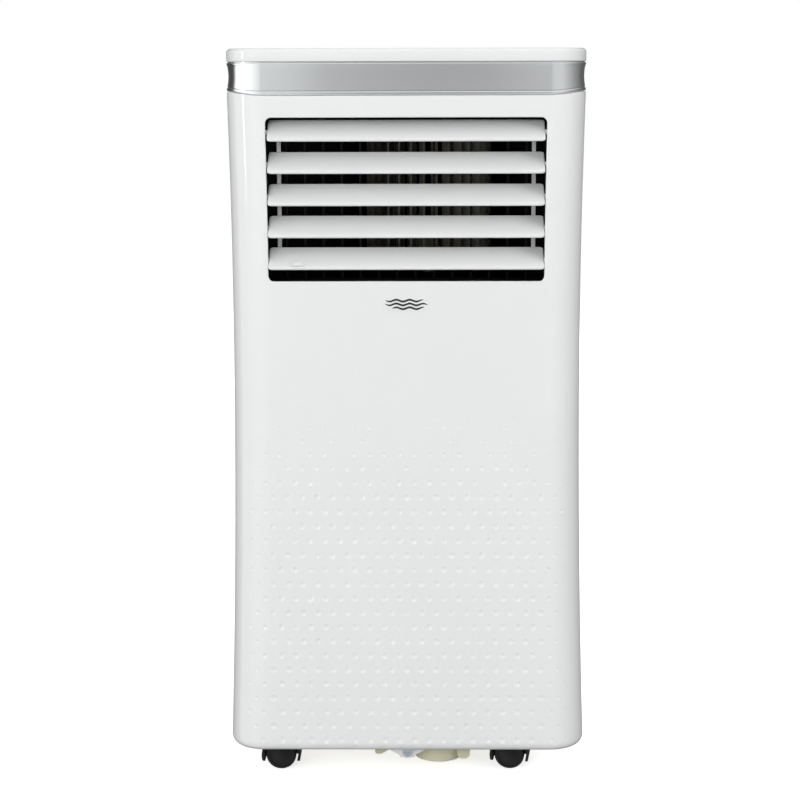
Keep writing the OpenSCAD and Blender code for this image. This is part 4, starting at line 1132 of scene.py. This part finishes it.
# badge: a plain plate with three drifting air waves, as a generic mark
badge = {
    "waves": ((3.1, 15.5, -1.5), (0.0, 17.5, 0.0), (-3.1, 13.0, 1.5)),      # height, half, shift
    "length": 11.0,         # of one wave
    "rise": 0.75,
    "stroke": 1.75,
    "raised": 0.25,
    "plate": 0.33,          # thickness of the plate before the panel
    "slope": 0.85,          # a stroke's width on top, against its foot
}
badgeLow, badgeHigh = corners("badge")
badgeMid = (badgeLow + badgeHigh) / 2
badgeSize = badgeHigh - badgeLow
badgeBack = badgeHigh[1]
badgeFront = badgeBack - badge["plate"]
plate = slab("xz", badgeMid[[0, 2]], badgeSize[[0, 2]], 2.0,
             [(0.0, badgeBack - 0.02), (0.0, badgeBack - 0.2), (0.15, badgeFront)], 6)
platePiece = makeObject("badgePlate", plate, "whiteAbs", "casing", 40)
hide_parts("badge")
waves = []
for dz, half, shift in badge["waves"]:
    # a stroke whose middle line is z = rise sin(2 pi x / length), thinning at both ends
    x = np.linspace(-half, half, 49)
    z = badgeMid[2] + dz + badge["rise"] * np.sin(2 * math.pi * (x + shift) / badge["length"])
    thin = np.sqrt(np.maximum(1 - (x / half) ** 4, 0.02)) * badge["stroke"] / 2
    low = np.full(len(x), badgeFront)
    high = np.full(len(x), badgeFront - badge["raised"])
    upper = thin * badge["slope"]
    ring = [np.stack([x + shift, low, z - thin], -1), np.stack([x + shift, high, z - upper], -1),
            np.stack([x + shift, high, z + upper], -1), np.stack([x + shift, low, z + thin], -1)]
    waves.append(weave(np.stack(ring, 1)))
wavePiece = makeObject("badgeWaves", joined(waves), "badgeInk", "casing", 30)


# buttons: dished caps on their plungers
button = {
    "plungerR": 2.5,
    # (inset from the cap's radius, depth below its top), from the foot up over the rim
    "rim": ((0.1, 3.7), (0.0, 3.4), (0.0, 0.9), (0.3, 0.25), (0.9, 0.0), (1.5, 0.1), (3.0, 0.42)),
    # (radius, depth) of the dish inside it
    "dish": ((1.5, 0.6), (0.05, 0.62)),
}
for row, spot in zip(buttonNodes, buttonSpots):
    low, high = corners(row)
    top = high[2]
    profile = [(button["plungerR"], low[2]), (button["plungerR"], top - button["rim"][0][1])]
    profile += [(buttonR - inset, top - depth) for inset, depth in button["rim"]]
    profile += [(radius, top - depth) for radius, depth in button["dish"]]
    turned = lathe("z", (spot[0], spot[1], 0), profile, 40)
    buttonCap = makeObject(row + "Cap", turned, "softGrey", row, 30)
    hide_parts(row)


# inlet grilles: a rounded frame, slats that lean outwards and two ribs
grille = {
    "rim": 8.0,
    "rib": 4.0,
    "pitch": 11.0,
    "depth": 7.0,
    "cornerR": 6.0,
    "fields": 3,            # between the ribs
    "root": 0.5,            # how far slats and ribs stand into the rim
    "catch": (34.0, 4.2),   # finger catch in the top rim
}


def inletGrille(name, node, body):
    # a hollow slab for the rim, slats every pitch up it, ribs between the fields and the catch
    low, high = corners(node)
    mid = (low + high) / 2
    size = high - low
    g = grille
    back = high[1]
    deep = low[1]
    levels = [(0, deep), (0, back - 0.9), (0.3, back - 0.3), (0.9, back), (g["rim"] - 0.8, back),
              (g["rim"] - 0.2, back - 0.3), (g["rim"], back - 0.9), (g["rim"], deep)]
    parts = [slab("xz", (mid[0], mid[2]), (size[0], size[2]), g["cornerR"], levels, hollow=True)]
    inner = size[0] - 2 * g["rim"]
    rows = int((size[2] - 2 * g["rim"]) / g["pitch"])
    # leaning slat: a flat ring section, its outer edge lower than its inner one
    section = np.array([(0.3, 1.2), (g["depth"] - 0.7, -0.9), (g["depth"] - 0.2, -1.2), (g["depth"], -1.5),
                        (g["depth"] - 0.3, -1.95), (g["depth"] - 1.0, -2.0), (0.3, -0.6), (0.0, 0.3)])
    for k in range(1, rows):
        z = mid[2] + (k - rows / 2) * g["pitch"]
        rings = []
        for x in (-inner / 2 - g["root"], inner / 2 + g["root"]):
            flat = (np.full(len(section), x), deep + section[:, 0], z + section[:, 1] + 0.3)
            rings.append(np.stack(flat, -1))
        parts.append(weave(rings))
    step = (inner + g["rib"]) / g["fields"]
    for k in range(1, g["fields"]):
        x = -inner / 2 + k * step - g["rib"] / 2
        parts.append(upright((x, (deep + back) / 2 - 0.2, mid[2]), size[2] / 2 - g["rim"] + g["root"],
                             (g["rib"], g["depth"] - 0.6), 0.1))
    parts.append(slab("xz", (0, high[2] - g["rim"] / 2), g["catch"], 2.0,
                      [(0.0, back - 0.5), (0.2, back - 0.02), (0.8, back - 0.05), (1.2, back - 0.45)], 6))
    made = makeObject(name, joined(parts), "grilleAbs", body, 40)
    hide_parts(node)


inletGrille("upperGrilleFace", "upper_inlet_grille", "upper_grille")
inletGrille("lowerGrilleFace", "lower_inlet_grille", "lower_grille")

# side grips: moulded pockets with a rolled mouth. A level is (inset, depth): outer and
# pocket count from the deepest point, lip from the mouth
grip = {
    "cornerR": 7.0,
    "outer": ((0.3, 0.0), (0.0, 0.5)),
    "lip": ((0.0, -0.6), (0.4, -0.1), (1.2, -0.1), (1.9, -0.8), (2.4, -3.0)),
    "pocket": ((3.2, 4.0), (4.0, 2.6), (5.6, 2.0)),
}
for node, sx in (("grip_left", -1), ("grip_right", 1)):
    low, high = corners(node)
    mid = (low + high) / 2
    size = high - low
    mouth = high[0] if sx > 0 else -low[0]
    deepest = low[0] if sx > 0 else -high[0]
    levels = []
    for part, start in (("outer", deepest), ("lip", mouth), ("pocket", deepest)):
        levels += [(inset, sx * (start + depth)) for inset, depth in grip[part]]
    pocket = slab("yz", (mid[1], mid[2]), (size[1], size[2]), grip["cornerR"], levels, 8)
    piece = makeObject("gripPocket" + ("Left" if sx < 0 else "Right"), pocket, "sparkAbs", "casing", 40)
    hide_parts(node)

# rear fittings: the cord gland and the drain spout's knurled plug
glandMid = (glandLow + glandHigh) / 2
# section as (radius, distance behind the casing), a collar with a rolled flange
gland = ((3.5, -7), (7.0, -7), (7.0, 0), (10.0, 0), (10.0, 0.7), (9.4, 1.2), (8.0, 1.5), (5.0, 1.4),
         (4.0, 1.0), (3.5, 0.3))
glandSection = [(radius, rearY + behind) for radius, behind in gland]
glandTurned = lathe("y", (glandMid[0], 0, glandMid[2]), glandSection, 40, closed=True)
glandPiece = makeObject("cordInlet", glandTurned, "dullRubber", "casing", 40)
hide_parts("cord_gland")
plugLow, plugHigh = corners("drain_plug")
plugMid = (plugLow + plugHigh) / 2
plugR = (plugHigh[0] - plugLow[0]) / 2
plugEnd = plugHigh[1]
plug = {"shankR": 4.4, "head": 3.0, "teeth": 24, "cut": 0.045}
turn = np.linspace(0, 2 * math.pi, plug["teeth"] * 4, endpoint=False)
# radius = r (1 - cut (1 + cos(teeth a)) / 2) where the head is knurled
knurl = 1 - plug["cut"] * (0.5 + 0.5 * np.cos(turn * plug["teeth"]))
rings = []
for radius, y, cut in ((plug["shankR"], plugLow[1], 0), (plug["shankR"], plugEnd - plug["head"], 0),
                       (plugR - 0.2, plugEnd - plug["head"], 0), (plugR, plugEnd - 2.8, 1),
                       (plugR, plugEnd - 0.6, 1), (plugR - 0.6, plugEnd, 0), (plugR - 2.2, plugEnd, 0),
                       (plugR - 2.8, plugEnd - 0.5, 0)):
    r = radius * (knurl if cut else 1.0)
    x = plugMid[0] + r * np.cos(turn)
    rings.append(np.stack([x, np.full(len(turn), y), plugMid[2] + r * np.sin(turn)], -1))
plugPiece = makeObject("drainCap", weave(rings), "dullRubber", "drain_plug", 30)
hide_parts("drain_plug")
print("rear fittings")

# wheels: rounded treads with a hub face, on the caster's own axle
wheelR = corners("wheel_front_left")[1][2] / 2
wheel = {
    "frontRightTurn": -7.0,     # degrees that this caster is swivelled at rest
    "hubR": 2.0,
    # (inset from the wheel's radius, distance from the middle) of one tread, inner face outwards
    "tread": ((1.6, 2.9), (0.5, 3.3), (0.0, 4.3), (0.0, 10.3), (0.4, 11.2), (1.3, 11.7), (2.3, 11.8),
              (2.7, 11.3), (3.6, 11.2)),
    # (radius, distance) of the raised hub disc on its outer face
    "disc": ((5.6, 11.5), (5.0, 11.9), (0.05, 12.0)),
}
for corner in ("front_left", "front_right", "rear_left", "rear_right"):
    low, high = corners("wheel_" + corner)
    mid = (low + high) / 2
    angle = math.radians(wheel["frontRightTurn"]) if corner == "front_right" else 0.0
    profile = [(wheel["hubR"], wheel["tread"][0][1])]
    profile += [(wheelR - inset, y) for inset, y in wheel["tread"]]
    profile += wheel["disc"]
    parts = []
    for side in (-1, 1):
        parts.append(lathe("y", (0, 0, 0), [(r, side * y) for r, y in profile], 48))
    parts.append(lathe("y", (0, 0, 0), [(wheel["hubR"], -3.0), (wheel["hubR"], 3.0)], 24))
    points, faces = spun(joined(parts), angle)
    body = "wheel_" + corner
    piece = makeObject("wheelTread_" + corner, (points + mid, faces), "treadNylon", body, 35)
    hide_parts("wheel_" + corner)
print("wheels")

# screw tab under the front: a V plate with a soft point, moulded with the front panel
tab = {
    "width": 38.6,
    "top": 30.4,            # heights above the floor
    "shoulder": 27.0,
    "tip": 17.2,
    "tipR": 3.0,
    "tipFlat": 1.5,         # half width of the flat between the tip's two arcs
    "flank": 4.0,           # the flanks aim this far inside the tab's half width
    "front": 15.0,          # behind the front face
    "thick": 2.4,
    "edge": 0.5,
}


def tabOutline(inset):
    # straight flanks from the shoulders to a tip of two arcs of radius tipR with a flat between
    half = tab["width"] / 2 - inset
    lean = math.atan2(tab["shoulder"] - tab["tip"], tab["width"] / 2 - tab["flank"])
    a = np.linspace(-math.pi / 2 - lean, -math.pi / 2 + lean, 9)
    r = tab["tipR"] - inset
    arc = np.stack([r * np.cos(a) + np.sign(np.cos(a)) * tab["tipFlat"],
                    tab["tip"] + tab["tipR"] + r * np.sin(a)], -1)
    low = np.array([[half, tab["shoulder"] + inset * 0.4], [half, tab["top"]]])
    return np.concatenate([arc, low, (low * [-1, 1])[::-1]])


tabFront = frontY + tab["front"]
rings = []
for inset, y in ((tab["edge"], tabFront), (0.15, tabFront + 0.15), (0.0, tabFront + tab["edge"]),
                 (0.0, tabFront + tab["thick"])):
    rings.append(lift(tabOutline(inset), "xz", y))
tabPiece = makeObject("screwTab", weave(rings), "whiteAbs", "casing", 40)
print("screw tab")


# floor: bright to the eye only, so it lights nothing from below
stage = {"left": -4.0, "right": 4.0, "front": -1.4, "back": 9.0}      # metres
ground = bpy.data.meshes.new("floor")
ground.from_pydata([(stage["left"], stage["front"], 0), (stage["right"], stage["front"], 0),
                    (stage["right"], stage["back"], 0), (stage["left"], stage["back"], 0)],
                   [], [(0, 1, 2, 3)])
floor = bpy.data.objects.new("floor", ground)
bpy.context.scene.collection.objects.link(floor)
floor.data.materials.append(mouldedPlastic("lit studio floor", "#FFFFFF", "#FAFAFA", 0.9, 40.0, 0.0,
                                           cloud=900, glow=0.7))
floor.visible_diffuse = False
floor.visible_glossy = False
